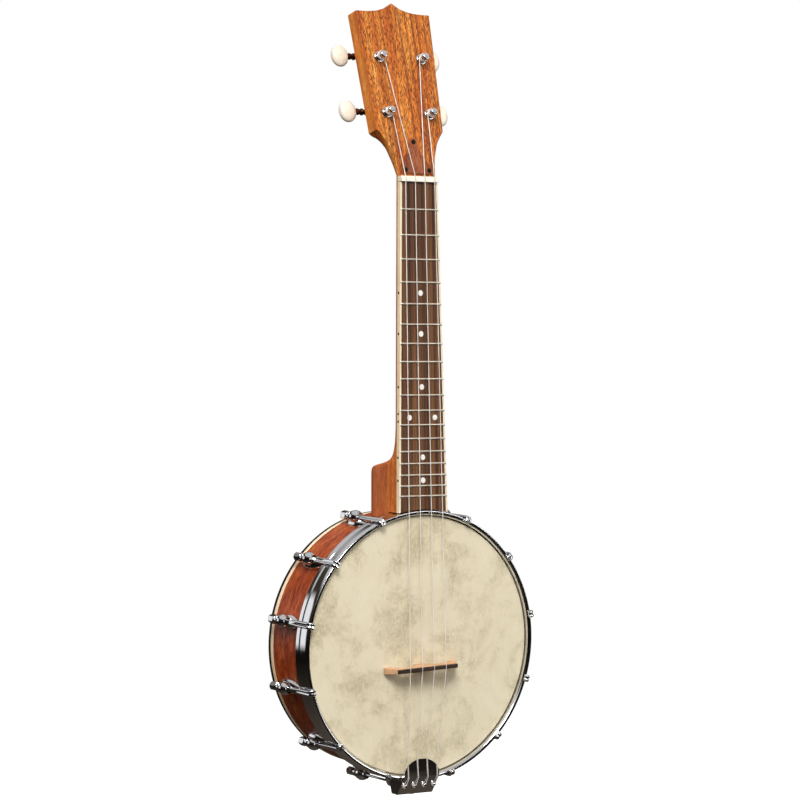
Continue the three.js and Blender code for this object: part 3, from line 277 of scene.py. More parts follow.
def lofted(name: str, rings: Sequence[Sequence[Vector]]) -> Piece:
    """Extrudes a filled ring from section to section, so that both ends are closed.

    Args:
        name: The new piece's name.
        rings: Rings of one count of points, in millimetres.

    Returns:
        The closed piece.
    """
    piece = start_ring(name, rings[0])
    with editing(piece):
        bpy.ops.mesh.edge_face_add()
        bm = bmesh.from_edit_mesh(piece.data)
        order = {tuple(vertex.co): i for i, vertex in enumerate(bm.verts)}
        for ring in rings[1:]:
            bpy.ops.mesh.extrude_region_move()
            bm = bmesh.from_edit_mesh(piece.data)
            following = {}
            for vertex in [v for v in bm.verts if v.select]:
                i = order[tuple(vertex.co)]
                vertex.co = ring[i] * MM
                following[tuple(vertex.co)] = i
            order = following
        bmesh.update_edit_mesh(piece.data)
        close_and_orient()
    return piece


def sections_along(path: Sequence[Vector], radii: Sequence[float], sides: int) -> list[list[Vector]]:
    """Round sections square to a path, carried along it without twist.

    Args:
        path: The points that the middle of the tube passes through.
        radii: The radius at each point.
        sides: Points in each section.

    Returns:
        A ring for each point.
    """
    first = (path[1] - path[0]).normalized()
    across = first.orthogonal().normalized()
    rings = []
    for i, point in enumerate(path):
        along = (path[min(i + 1, len(path) - 1)] - path[max(i - 1, 0)]).normalized()
        across = (across - along * across.dot(along)).normalized()
        up = along.cross(across)
        rings.append([point + (across * math.cos(turn) + up * math.sin(turn)) * radii[i]
                      for turn in angles(sides, FULL_TURN)[:-1]])
    return rings


def discard(*pieces: Piece) -> None:
    """Removes tool bodies and models that have been copied."""
    for piece in pieces:
        bpy.data.objects.remove(piece, do_unlink=True)


def shape_with(piece: Piece, tool: Piece, cut: Cut) -> Piece:
    """Shapes a piece with a tool body by a Boolean modifier, and removes the tool.

    Args:
        piece: The piece to shape.
        tool: The body that shapes it.
        cut: How it does.

    Returns:
        The piece.
    """
    select_only(piece)
    bpy.ops.object.modifier_add(type="BOOLEAN")
    modifier = piece.modifiers[-1]
    modifier.operation = cut.value
    modifier.object = tool
    modifier.solver = "EXACT"
    bpy.ops.object.modifier_apply(modifier=modifier.name)
    discard(tool)
    return piece


def soften(piece: Piece, width: float, segments: int = 2, angle: float = 35.0) -> Piece:
    """Rounds the sharp edges of a piece with an applied Bevel modifier.

    Args:
        piece: The piece to round.
        width: The bevel's width in millimetres.
        segments: Its segments.
        angle: The least angle of an edge that is rounded, in degrees.

    Returns:
        The piece.
    """
    select_only(piece)
    bpy.ops.object.modifier_add(type="BEVEL")
    modifier = piece.modifiers[-1]
    modifier.width = width * MM
    modifier.segments = segments
    modifier.limit_method = "ANGLE"
    modifier.angle_limit = math.radians(angle)
    modifier.use_clamp_overlap = True
    bpy.ops.object.modifier_apply(modifier=modifier.name)
    return piece


def shade(piece: Piece, angle: float = 32.0) -> Piece:
    """Shades a piece smooth, apart from edges sharper than an angle, with its flat faces kept flat.

    Args:
        piece: The piece.
        angle: The angle in degrees.

    Returns:
        The piece.
    """
    select_only(piece)
    bpy.ops.object.shade_smooth_by_angle(angle=math.radians(angle))
    bpy.ops.object.modifier_add(type="WEIGHTED_NORMAL")
    modifier = piece.modifiers[-1]
    modifier.keep_sharp = True
    bpy.ops.object.modifier_apply(modifier=modifier.name)
    return piece


def copy_of(piece: Piece, name: str, place: Matrix) -> Piece:
    """A copy with its own mesh, put in its place in that mesh.

    Args:
        piece: The piece to copy.
        name: The copy's name.
        place: Where it goes. A mirroring matrix has its faces turned back outwards.

    Returns:
        The copy.
    """
    twin = piece.copy()
    twin.data = piece.data.copy()
    twin.name = name
    twin.data.name = name
    bpy.context.scene.collection.objects.link(twin)
    twin.data.transform(place)
    if place.determinant() < 0:
        twin.data.flip_normals()
    return twin


def joined(name: str, pieces: Sequence[Piece]) -> Piece:
    """Joins pieces into one object.

    Args:
        name: The joined piece's name.
        pieces: The pieces, of which the first stays.

    Returns:
        The joined piece.
    """
    select_only(pieces[0])
    for piece in pieces[1:]:
        piece.select_set(True)
    bpy.ops.object.join()
    whole = bpy.context.object
    whole.name = name
    whole.data.name = name
    return whole


def translation(x: float, y: float, z: float) -> Matrix:
    """A translation by millimetres, as a matrix in metres."""
    return Matrix.Translation(Vector((x, y, z)) * MM)


def about(axis: str, degrees: float) -> Matrix:
    """A turn about an axis ("X", "Y" or "Z") through the origin, by the right-hand rule."""
    return Matrix.Rotation(math.radians(degrees), 4, axis)


def dress(piece: Piece, finish: Finish, *nodes: str, body: str = ROOT) -> Piece:
    """Gives a finished piece its material and its body, and hides the CAD nodes that it stands for.

    Args:
        piece: The piece.
        finish: Its finish, whose material the piece takes; the slot that it also says is not used here.
        *nodes: CAD nodes that it replaces.
        body: The body that it rides on.

    Returns:
        The piece.
    """
    piece.data.materials.clear()
    piece.data.materials.append(finish.material)
    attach(piece, body)
    if nodes:
        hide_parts(*nodes)
    LOG.info("%s: %d faces, on %s", piece.name, len(piece.data.polygons), body)
    return piece


# ---- finishes ----


def linear(hex_colour: str) -> tuple[float, float, float, float]:
    """Turns an sRGB hex colour into linear light.

    Args:
        hex_colour: The colour, such as "#b8662a".

    Returns:
        Linear red, green, blue and an alpha of 1.
    """
    channels = [int(hex_colour[i:i + 2], 16) / 255 for i in (1, 3, 5)]
    light = [c / 12.92 if c <= 0.04045 else ((c + 0.055) / 1.055) ** 2.4 for c in channels]
    return (light[0], light[1], light[2], 1.0)


class Sheet:
    """The node sheet of a material or of the world."""

    def __init__(self, name: str, world: bpy.types.World | None = None) -> None:
        """Starts a material, or takes over a world's sheet.

        Args:
            name: What the real finish is called.
            world: The world, if the sheet isn't a material's.
        """
        self.material = world or bpy.data.materials.new(name)
        self.material.use_nodes = True
        self.tree = self.material.node_tree
        self.shader = self.tree.nodes.get("Principled BSDF")
        self.output = self.tree.nodes.get("Material Output")

    def add(self, kind: str, inputs: dict[str | int, object] | None = None,
            **settings: object) -> bpy.types.Node:
        """Adds a node with its settings and links.

        Args:
            kind: The node's type, without its "ShaderNode" prefix.
            inputs: What link() takes, for the new node.
            **settings: Its own settings. "stops" are a colour ramp's (place, hex colour) pairs.

        Returns:
            The node.
        """
        node = self.tree.nodes.new("ShaderNode" + kind)
        for name, value in settings.items():
            if name == "stops":
                elements = node.color_ramp.elements
                while len(elements) < len(value):
                    elements.new(1.0)
                for element, (place, colour) in zip(elements, value):
                    element.position = place
                    element.color = linear(colour)
            else:
                setattr(node, name, value)
        self.link(node, inputs or {})
        return node

    def link(self, node: bpy.types.Node, inputs: dict[str | int, object]) -> None:
        """Links sockets to a node's inputs, or sets their values.

        Args:
            node: The node.
            inputs: For each input's name or number a value, a socket, or a node for its first output.
        """
        for key, value in inputs.items():
            source = value.outputs[0] if isinstance(value, bpy.types.Node) else value
            if isinstance(source, bpy.types.NodeSocket):
                self.tree.links.new(source, node.inputs[key])
            else:
                node.inputs[key].default_value = source


class Grain(Enum):
    """Which way a piece's wood grain runs."""

    UP = (1, 1, 0)
    ACROSS = (0, 1, 1)
    ROUND_THE_POT = None


@dataclass(frozen=True)
class Wood:
    """A finished wood: streaks and open pores along the grain.

    Real mahogany pores are 0.15 to 0.3 mm wide and 3 to 8 mm long, which is too fine for this view
    (a pixel is 0.8 mm), so widths start at 0.6 mm. The ribbons are the darker bands of a
    quarter-sawn face, 2 to 3 mm wide and as long as the plank. Bent grain follows the neck's slope
    and, past the nut, the headstock's.
    """

    name: str
    tones: tuple[str, ...]
    pore: str
    grain: Grain = Grain.UP
    streak_width: float = 1.5
    streak_length: float = 12.0
    pore_width: float = 0.62
    pore_length: float = 4.6
    pore_amount: float = 0.85
    pore_level: float = 0.51
    pore_soft: float = 0.12
    pore_depth: float = 0.05
    pore_dullness: float = 0.22
    figure_width: float = 9.0
    figure_stretch: float = 5.0
    figure_share: float = 0.42
    roughness: float = 0.46
    lacquer: float = 0.03
    plain_sides: float = 0.0
    ribbons: float = 0.0
    ribbon_width: float = 2.2
    ribbon_length: float = 160.0
    bent: bool = False
    bend_height: float = 369.0
    neck_slope: float = math.tan(math.radians(3.5))
    head_slope: float = math.tan(math.radians(16.8))

    def stretched(self, sheet: Sheet, width: float, length: float) -> bpy.types.Node:
        """Coordinates in which one unit is a feature's width across and its length along the grain.

        Args:
            sheet: The material's sheet.
            width: Millimetres across the grain.
            length: Millimetres along the grain.

        Returns:
            The node that gives them.
        """
        place = sheet.add("TexCoord").outputs["Object"]
        across, along = 1 / (width * MM), 1 / (length * MM)
        parts = sheet.add("SeparateXYZ", {0: place}).outputs
        if self.bent:
            past = sheet.add("Math", {0: parts["Z"], 1: self.bend_height * MM}, operation="SUBTRACT")
            depth = parts["Y"]
            for rise, slope in ((parts["Z"], self.neck_slope), (past, self.head_slope - self.neck_slope)):
                beyond = sheet.add("Math", {0: rise, 1: 0.0}, operation="MAXIMUM")
                depth = sheet.add("Math", {0: beyond, 1: -slope, 2: depth}, operation="MULTIPLY_ADD")
            place = sheet.add("CombineXYZ", {"X": parts["X"], "Y": depth, "Z": parts["Z"]})
        if self.grain is not Grain.ROUND_THE_POT:
            scale = [across if square else along for square in self.grain.value]
            return sheet.add("Mapping", {"Vector": place, "Scale": scale})
        turn = sheet.add("Math", {0: parts["X"], 1: parts["Z"]}, operation="ARCTAN2")
        flat = sheet.add("CombineXYZ", {"X": parts["X"], "Y": parts["Z"]})
        radius = sheet.add("VectorMath", {0: flat}, operation="LENGTH").outputs["Value"]
        arc = sheet.add("Math", {0: turn, 1: Pot.rim_radius * MM}, operation="MULTIPLY")
        unrolled = sheet.add("CombineXYZ", {"X": radius, "Y": parts["Y"], "Z": arc})
        return sheet.add("Mapping", {"Vector": unrolled, "Scale": (across, across, along)})

    def material(self) -> bpy.types.Material:
        """Builds the wood's material."""
        sheet = Sheet(self.name)
        pore = linear(self.pore)
        streaks = sheet.add("TexNoise", {
            "Vector": self.stretched(sheet, self.streak_width, self.streak_length), "Scale": 1.0,
            "Detail": 5.0, "Roughness": 0.62, "Distortion": 0.4})
        figure = sheet.add("TexNoise", {
            "Vector": self.stretched(sheet, self.figure_width, self.figure_width * self.figure_stretch),
            "Scale": 1.0, "Detail": 2.0, "Roughness": 0.5})
        shade_share = sheet.add("Mix", {0: self.figure_share, 2: streaks, 3: figure})
        stops = [(0.37 + 0.26 * i / (len(self.tones) - 1), tone) for i, tone in enumerate(self.tones)]
        colour = sheet.add("ValToRGB", {0: shade_share}, stops=stops)
        faces = sheet.add("SeparateXYZ", {0: sheet.add("TexCoord").outputs["Normal"]})
        sideways = sheet.add("Math", {0: faces}, operation="ABSOLUTE")
        shown = sheet.add("MapRange", {
            "Value": sideways, "From Min": 0.7, "From Max": 0.95, "To Min": self.pore_amount,
            "To Max": self.pore_amount * (1 - self.plain_sides)})
        if self.ribbons:
            long = sheet.add("TexNoise", {
                "Vector": self.stretched(sheet, self.ribbon_width, self.ribbon_length), "Scale": 1.0,
                "Detail": 2.0, "Roughness": 0.6})
            share = sheet.add("MapRange", {
                "Value": long, "From Min": 0.45, "From Max": 0.63, "To Max": self.ribbons})
            share = sheet.add("Math", {0: share, 1: shown}, operation="MULTIPLY")
            colour = sheet.add("Mix", {0: share, 6: colour, 7: pore}, data_type="RGBA").outputs[2]
        vessels = sheet.add("TexNoise", {
            "Vector": self.stretched(sheet, self.pore_width, self.pore_length), "Scale": 1.0,
            "Detail": 2.5, "Roughness": 0.55})
        pores = sheet.add("MapRange", {
            "Value": vessels, "From Min": self.pore_level, "From Max": self.pore_level + self.pore_soft})
        amount = sheet.add("Math", {0: pores, 1: shown}, operation="MULTIPLY")
        dark = sheet.add("Mix", {0: amount, 6: colour, 7: pore}, data_type="RGBA").outputs[2]
        rough = sheet.add("MapRange", {
            "Value": pores, "To Min": self.roughness, "To Max": self.roughness + self.pore_dullness})
        bump = sheet.add("Bump", {
            "Strength": 0.5, "Distance": self.pore_depth * MM, "Height": pores}, invert=True)
        sheet.link(sheet.shader, {"Base Color": dark, "Roughness": rough, "Normal": bump,
                                  "Coat Weight": self.lacquer, "Coat Roughness": 0.3,
                                  "Specular IOR Level": 0.3})
        return sheet.material


@dataclass(frozen=True)
class Plated:
    """Polished plate or turned steel, with faint wipe marks in its gloss."""

    name: str
    colour: str
    roughness: float
    wipe: float = 0.04
    mark: float = 6.0

    def material(self) -> bpy.types.Material:
        """Builds the metal's material."""
        sheet = Sheet(self.name)
        marks = sheet.add("TexNoise", {
            "Vector": sheet.add("TexCoord").outputs["Object"], "Scale": 1 / (self.mark * MM), "Detail": 3.0,
            "Roughness": 0.6})
        rough = sheet.add("MapRange", {
            "Value": marks, "From Min": 0.3, "From Max": 0.7, "To Min": self.roughness,
            "To Max": self.roughness + self.wipe})
        sheet.link(sheet.shader, {"Base Color": linear(self.colour), "Metallic": 1.0, "Roughness": rough})
        return sheet.material


@dataclass(frozen=True)
class Moulded:
    """Moulded or cut plastic, bone or pearl: two close tones in soft clouds under a gloss."""

    name: str
    light: str
    dark: str
    cloud: float = 5.0
    stretch: float = 1.0
    roughness: float = 0.3
    coat: float = 0.0
    glow: float = 0.0
    clear: float = 0.0
    shine: float = 0.5

    def material(self) -> bpy.types.Material:
        """Builds the plastic's material."""
        sheet = Sheet(self.name)
        size = 1 / (self.cloud * MM)
        spread = sheet.add("Mapping", {"Vector": sheet.add("TexCoord").outputs["Object"],
                                       "Scale": (size, size, size / self.stretch)})
        clouds = sheet.add("TexNoise", {
            "Vector": spread, "Scale": 1.0, "Detail": 4.0, "Roughness": 0.6, "Distortion": 0.6})
        colour = sheet.add("ValToRGB", {0: clouds}, stops=[(0.34, self.dark), (0.62, self.light)])
        rough = sheet.add("MapRange", {
            "Value": clouds, "To Min": self.roughness - 0.05, "To Max": self.roughness + 0.07})
        sheet.link(sheet.shader, {
            "Base Color": colour, "Roughness": rough, "Coat Weight": self.coat, "Coat Roughness": 0.08,
            "Subsurface Weight": self.glow, "Subsurface Radius": (0.002, 0.0015, 0.001),
            "Subsurface Scale": 1.0, "Transmission Weight": self.clear, "IOR": 1.42,
            "Specular IOR Level": self.shine})
        return sheet.material


@dataclass(frozen=True)
class FibreHead:
    """A polyester head that looks like calfskin: clouded cream with soft vertical fibres.

    Its clouds are 34 mm across, as the picture shows. Its real specks and fibres are 0.2 to 0.5 mm
    wide, too fine to show, so they are drawn 2.2 mm and 1.6 mm wide.
    """

    name: str = "clouded fibre polyester"
    cloud: float = 34.0
    speck: float = 2.2
    fibre: tuple[float, float, float] = (1.6, 1.0, 11.0)

    def material(self) -> bpy.types.Material:
        """Builds the head's material."""
        sheet = Sheet(self.name)
        place = sheet.add("TexCoord").outputs["Object"]
        blot = sheet.add("TexNoise", {"Vector": place, "Scale": 1 / (self.cloud * MM), "Detail": 8.0,
                                      "Roughness": 0.68, "Distortion": 0.35})
        colour = sheet.add("ValToRGB", {0: blot}, stops=[
            (0.28, "#c2b594"), (0.42, "#d9ccab"), (0.52, "#e6d9ba"), (0.7, "#ece1c5")])
        speck = sheet.add("TexNoise", {"Vector": place, "Scale": 1 / (self.speck * MM), "Detail": 3.0,
                                       "Roughness": 0.65})
        cloudy = sheet.add("MapRange", {
            "Value": blot, "From Min": 0.53, "From Max": 0.36, "To Max": 0.95})
        dust = sheet.add("MapRange", {
            "Value": speck, "From Min": 0.44, "From Max": 0.66, "To Max": 0.5})
        dusty = sheet.add("Math", {0: cloudy, 1: dust}, operation="MULTIPLY")
        spotted = sheet.add("Mix", {0: dusty, 6: colour, 7: linear("#a99a79")}, data_type="RGBA").outputs[2]
        drawn = sheet.add("Mapping", {"Vector": place, "Scale": [1 / (size * MM) for size in self.fibre]})
        fibres = sheet.add("TexNoise", {
            "Vector": drawn, "Scale": 1.0, "Detail": 4.0, "Roughness": 0.7, "Distortion": 2.4})
        threads = sheet.add("MapRange", {
            "Value": fibres, "From Min": 0.53, "From Max": 0.66, "To Max": 0.7})
        fibrous = sheet.add("Mix", {
            0: threads, 6: spotted, 7: linear("#efe5cd")}, data_type="RGBA").outputs[2]
        bump = sheet.add("Bump", {"Strength": 0.25, "Distance": 0.04 * MM, "Height": fibres})
        sheet.link(sheet.shader, {"Base Color": fibrous, "Roughness": 0.62, "Normal": bump,
                                  "Specular IOR Level": 0.3})
        return sheet.material


REDWOOD = ("#782508", "#983a0e", "#b04f19", "#ca6e2e")
REDWOOD_PORE = "#461505"


class Finish(Enum):
    """Every finish on the instrument, with the record's slot."""

    # Mahogany plank, planed, pore-stained and sprayed satin: orange-brown, dark open pores and long
    # ribbons on its face, plainer on its sides, and a low, broad gloss.
    NECK_WOOD = "mahogany", Wood(
        "satin mahogany", ("#b05214", "#ca6c20", "#db832c", "#eba54e"), "#6c2e0a", streak_width=0.9,
        streak_length=5, pore_length=3.2, pore_amount=0.95, pore_level=0.475, figure_width=7,
        figure_stretch=12, plain_sides=0.85, ribbons=0.75, bent=True)
    # Mahogany ply steamed round a form: redder and darker, its grain runs round the pot.
    RIM_WOOD = "rim_mahogany", Wood(
        "bent mahogany", REDWOOD, REDWOOD_PORE, Grain.ROUND_THE_POT, streak_width=0.9, streak_length=9,
        pore_length=6, figure_width=5, roughness=0.4)
    # The same ply laid flat: upright grain, fewer pores.
    BACK_WOOD = "mahogany", Wood("mahogany plate", REDWOOD, REDWOOD_PORE, pore_amount=0.6)
    # A carved block: even mid brown, hardly any pores.
    HEEL_WOOD = "rim_mahogany", Wood(
        "heel mahogany", ("#a04718", "#b3581e", "#c0672a", "#ca7438"), "#7a3612", pore_amount=0.4)
    # A thin stained plate: the darkest and least orange of the mahoganies.
    COVER_WOOD = "rim_mahogany", Wood(
        "dark mahogany", ("#75371a", "#8e4a28", "#a05a34", "#b0683e"), "#48200e", pore_width=0.7,
        pore_amount=0.8, bent=True)
    # Walnut planed and oiled: dark, dry, with long light and dark lines along the board.
    BOARD_WOOD = "fretboard_wood", Wood(
        "oiled walnut", ("#2a160a", "#4a2a14", "#664022", "#845933"), "#1d0e07", streak_width=1.2,
        streak_length=1500, pore_length=60, pore_amount=0.35, figure_width=3.4, figure_stretch=80,
        roughness=0.55, lacquer=0.0, bent=True)
    # Ebony filed and buffed: nearly black, closed grain.
    EBONY = "ebony", Wood(
        "ebony", ("#2a1c12", "#38271a", "#4a3524"), "#160e08", Grain.ACROSS, roughness=0.4, lacquer=0.1)
    # Maple sawn and sanded: pale pinkish tan, faint short marks.
    MAPLE = "maple", Wood(
        "maple", ("#bd8a60", "#cf9f76", "#deb58e"), "#a0744e", Grain.ACROSS, pore_amount=0.25,
        roughness=0.45, lacquer=0.1)
    # Cellulose binding, scraped and polished: warm cream, a soft streak along it.
    CREAM = "cream_plastic", Moulded(
        "cream cellulose", "#efe0c2", "#e5d2ae", cloud=9, stretch=8, roughness=0.36, coat=0.1)
    # The same cellulose on the strip round the rim, its colour painted lighter: painted light that stands in
    # for the light falling weakly on the pot's side.
    CREAM_PAINTED_LIGHTER = "cream_plastic", Moulded(
        "cream cellulose painted lighter", "#ffe9ca", "#f6dab2", cloud=9, stretch=8, roughness=0.36, coat=0.1)
    # Black binding, scraped: a plain dark edge with a dull sheen.
    BLACK = "black_plastic", Moulded("black cellulose", "#17120f", "#0b0806", roughness=0.45, shine=0.2)
    # Pressed polyester film: see its class.
    HEAD = "head_skin", FibreHead()
    # Chrome over polished brass: a sharp mirror with faint wipe marks.
    CHROME = "chrome", Plated("chrome plate", "#dedfe2", 0.06)
    # Steel shafts with a bronze finish: dark, brownish, half dull.
    DARK_STEEL = "steel", Plated("dark bronze steel", "#7a5f48", 0.24)
    # Lathe-turned steel: grey with a spread highlight.
    STEEL = "steel", Plated("turned steel", "#a5a6a8", 0.27)
    # Drawn and filed fret wire: pale, warm, softly bright.
    NICKEL = "steel", Plated("nickel silver", "#eee6d6", 0.34)
    # Heat-blackened wood screws: nearly black with a small glint.
    BLACK_SCREW = "black_plastic", Plated("blackened screw", "#2b2724", 0.3)
    # Bone, sawn and polished: warm white, lengthwise flecks, a little glow.
    BONE = "nut_bone", Moulded(
        "polished bone", "#f6f2e2", "#e8e0c6", cloud=3, stretch=4, roughness=0.34, coat=0.2, glow=0.1)
    # Cast acrylic: creamy, clouded, glossy.
    BUTTON = "button_plastic", Moulded(
        "pearly button plastic", "#f3e9d8", "#ebdfc9", cloud=9, coat=0.3, glow=0.15)
    # Shell cut and set flush: white to grey patches under a bright polish.
    PEARL = "nut_bone", Moulded(
        "mother of pearl", "#f7f6ee", "#cfcabc", cloud=1.2, roughness=0.2, coat=0.7)
    # Drawn monofilament: pale, partly clear, with a thin bright line.
    STRING = "string_nylon", Moulded(
        "drawn fluorocarbon", "#f4ece4", "#e2d6cb", cloud=20, roughness=0.2, coat=0.4, clear=0.12)

    def __init__(self, slot: str, recipe: Wood | Plated | Moulded | FibreHead) -> None:
        """Names the finish's values."""
        self.slot, self.recipe = slot, recipe

    @cached_property
    def material(self) -> bpy.types.Material:
        """The finish's material, built when it is first used."""
        return self.recipe.material()


# ---- the instrument ----


@dataclass
class Pot:
    """The wooden rim, the back, the head and the two hoops."""

    rim_radius: float = 101.6
    rim_wall: float = 9.0
    head_height: float = 62.1
    head_thickness: float = 0.6
    edge_radius: float = 2.4
    back_thickness: float = 3.0
    edge_width: float = 2.4
    edge_height: float = 3.5
    strip_height: float = 3.8
    strip_width: float = 2.4
    seam: float = 0.06
    skirt_depth: float = 7.5
    skirt_radius: float = 102.2
    flesh_inner: float = 102.5
    flesh_outer: float = 104.1
    flesh_height: float = 4.6
    hoop_top: float = -65.5
    hoop_height: float = 16.6
    hoop_inner: float = 102.8
    hoop_front: float = 106.4
    hoop_outer: float = 106.8
    hoop_lip: float = 6.6
    hoop_band: float = 5.2
    hoop_crease: float = 0.7
    hoop_corner: float = 0.45
    hoop_taper: float = 3.6
    hoop_roll_width: float = 2.1
    hoop_roll_depth: float = 3.4
    screw_circle: float = 95.9
    screw_count: int = 6
    screw_first: float = 30.0
    spin: int = 256

    def build(self) -> None:
        """Builds the pot's pieces."""
        self.rim()
        self.back()
        self.head()
        self.hoop()

    def rim(self) -> None:
        """The bent rim, its cream strip and the back's black edge."""
        outer, inner = self.rim_radius, self.rim_radius - self.rim_wall
        floor, top = -self.back_thickness, -(self.head_height - self.head_thickness)
        rabbet = outer - self.strip_width - self.seam
        low = -self.edge_height
        strip_top = low - self.strip_height
        profile = rounded([
            (inner, floor - self.seam), (rabbet, floor - self.seam), (rabbet, strip_top - self.seam),
            (outer, strip_top - self.seam), (outer, top + self.edge_radius),
            (outer - self.edge_radius, top), (inner + self.edge_radius, top + self.edge_radius),
            (inner, top + 2 * self.edge_radius)], 0.4)
        ring = shade(turned("rim_wall", profile, self.spin))
        dress(ring, Finish.RIM_WOOD, "rim")
        strip = rounded(rectangle(outer - self.strip_width, outer + 0.05, low - self.seam, strip_top), 0.25)
        # the rim strip's cream is painted lighter, standing in for light on the pot's side
        dress(shade(turned("rim_strip", strip, self.spin)), Finish.CREAM_PAINTED_LIGHTER, "rim_binding")
        edge = rounded(rectangle(outer - self.edge_width, outer, low, 0.0), 0.5, 4)
        dress(shade(turned("back_edge", edge, self.spin)), Finish.BLACK, "back_edge_binding")

    def back(self) -> None:
        """The round back with its sunk screws."""
        radius = self.rim_radius - self.edge_width - self.seam
        disc = rounded(rectangle(0.0, radius, -self.back_thickness, 0.0), 0.3)
        plate = turned("back_disc", disc, self.spin)
        screw = Screw(3.0, 1.3, 1.5, 14.0)
        recesses = []
        for i in range(self.screw_count):
            turn = about("Y", self.screw_first + 360 * i / self.screw_count)
            place = turn @ translation(0, 0, self.screw_circle)
            recess = turned("recess", rectangle(0.0, screw.head_radius + 0.25, -1.6, 1.0), 32)
            recess.data.transform(place)
            recesses.append(recess)
            seated = screw.built(f"back_screw_{i + 1}")
            seated.data.transform(place @ translation(0, -1.5, 0))
            dress(seated, Finish.STEEL)
        shape_with(plate, joined("recesses", recesses), Cut.AWAY)
        dress(shade(plate), Finish.BACK_WOOD, "back_plate")

    def head(self) -> None:
        """The head, with its rolled edge and skirt, and the flesh hoop that holds it."""
        outer, top = self.skirt_radius, -self.head_height
        inner, under = outer - self.head_thickness / 2, top + self.head_thickness
        roll = self.edge_radius / 2
        arc = [(outer - roll + roll * math.sin(t), top + roll - roll * math.cos(t)) for t in angles(6)]
        skirt = top + self.skirt_depth
        profile = [(0.0, under), (inner - roll, under), (inner, under + roll), (inner, skirt), (outer, skirt),
                   *reversed(arc), (60.0, top), (0.0, top)]
        dress(shade(turned("head_membrane", profile, self.spin)), Finish.HEAD, "head")
        flesh_top = self.hoop_top + self.hoop_lip + 0.3
        band = rectangle(self.flesh_inner, self.flesh_outer, flesh_top, flesh_top + self.flesh_height)
        dress(shade(turned("flesh_band", rounded(band, 0.3), self.spin)), Finish.STEEL, "flesh_hoop")

    def hoop(self) -> None:
        """The tension hoop: a flat front with a rolled inner edge, and a lower band below a crease."""
        top, bottom = self.hoop_top, self.hoop_top + self.hoop_height
        crease = bottom - self.hoop_band
        wide, deep = self.hoop_roll_width, self.hoop_roll_depth
        front, corner = self.hoop_front, self.hoop_corner
        quarter = angles(10)
        roll = [(self.hoop_inner + wide * (1 - math.cos(t)), top + deep * (1 - math.sin(t))) for t in quarter]
        arc = [(front - corner * (1 - math.sin(t)), top + corner * (1 - math.cos(t))) for t in quarter]
        side = [(front + (self.hoop_outer - front) * math.sin(t),
                 top + corner + self.hoop_taper * t * 2 / math.pi) for t in quarter[2::2]]
        lower = rounded([
            (self.hoop_outer, crease - self.hoop_crease), (self.hoop_outer - self.hoop_crease, crease),
            (self.hoop_outer, crease + self.hoop_crease), (self.hoop_outer, bottom),
            (self.flesh_outer + 0.3, bottom), (self.flesh_outer + 0.3, top + self.hoop_lip),
            (self.hoop_inner, top + self.hoop_lip)], 0.3)
        dress(shade(turned("tension_hoop_band", [*roll, *arc, *side, *lower], self.spin)),
              Finish.CHROME, "tension_hoop")


@dataclass
class Screw:
    """A cross-recessed screw, built with its head towards +Y on the plane y = 0."""

    head_radius: float
    head_height: float
    shank_radius: float
    shank_length: float

    def built(self, name: str) -> Piece:
        """Builds the screw.

        Args:
            name: The new piece's name.

        Returns:
            The screw at the origin.
        """
        radius, height = self.head_radius, self.head_height
        dome = [(radius * math.sin(t), height * (0.45 + 0.55 * math.cos(t))) for t in reversed(angles(6)[1:])]
        piece = turned(name, [(0.0, -self.shank_length), (self.shank_radius, 1 - self.shank_length),
                              (self.shank_radius, 0.0), (radius, 0.0), *dome, (0.0, height)], 24)
        for long_x, long_z in ((0.62, 0.14), (0.14, 0.62)):
            slot = block("slot", (-radius * long_x, height * 0.5, -radius * long_z),
                         (radius * long_x, height * 2, radius * long_z))
            shape_with(piece, slot, Cut.AWAY)
        return shade(piece)


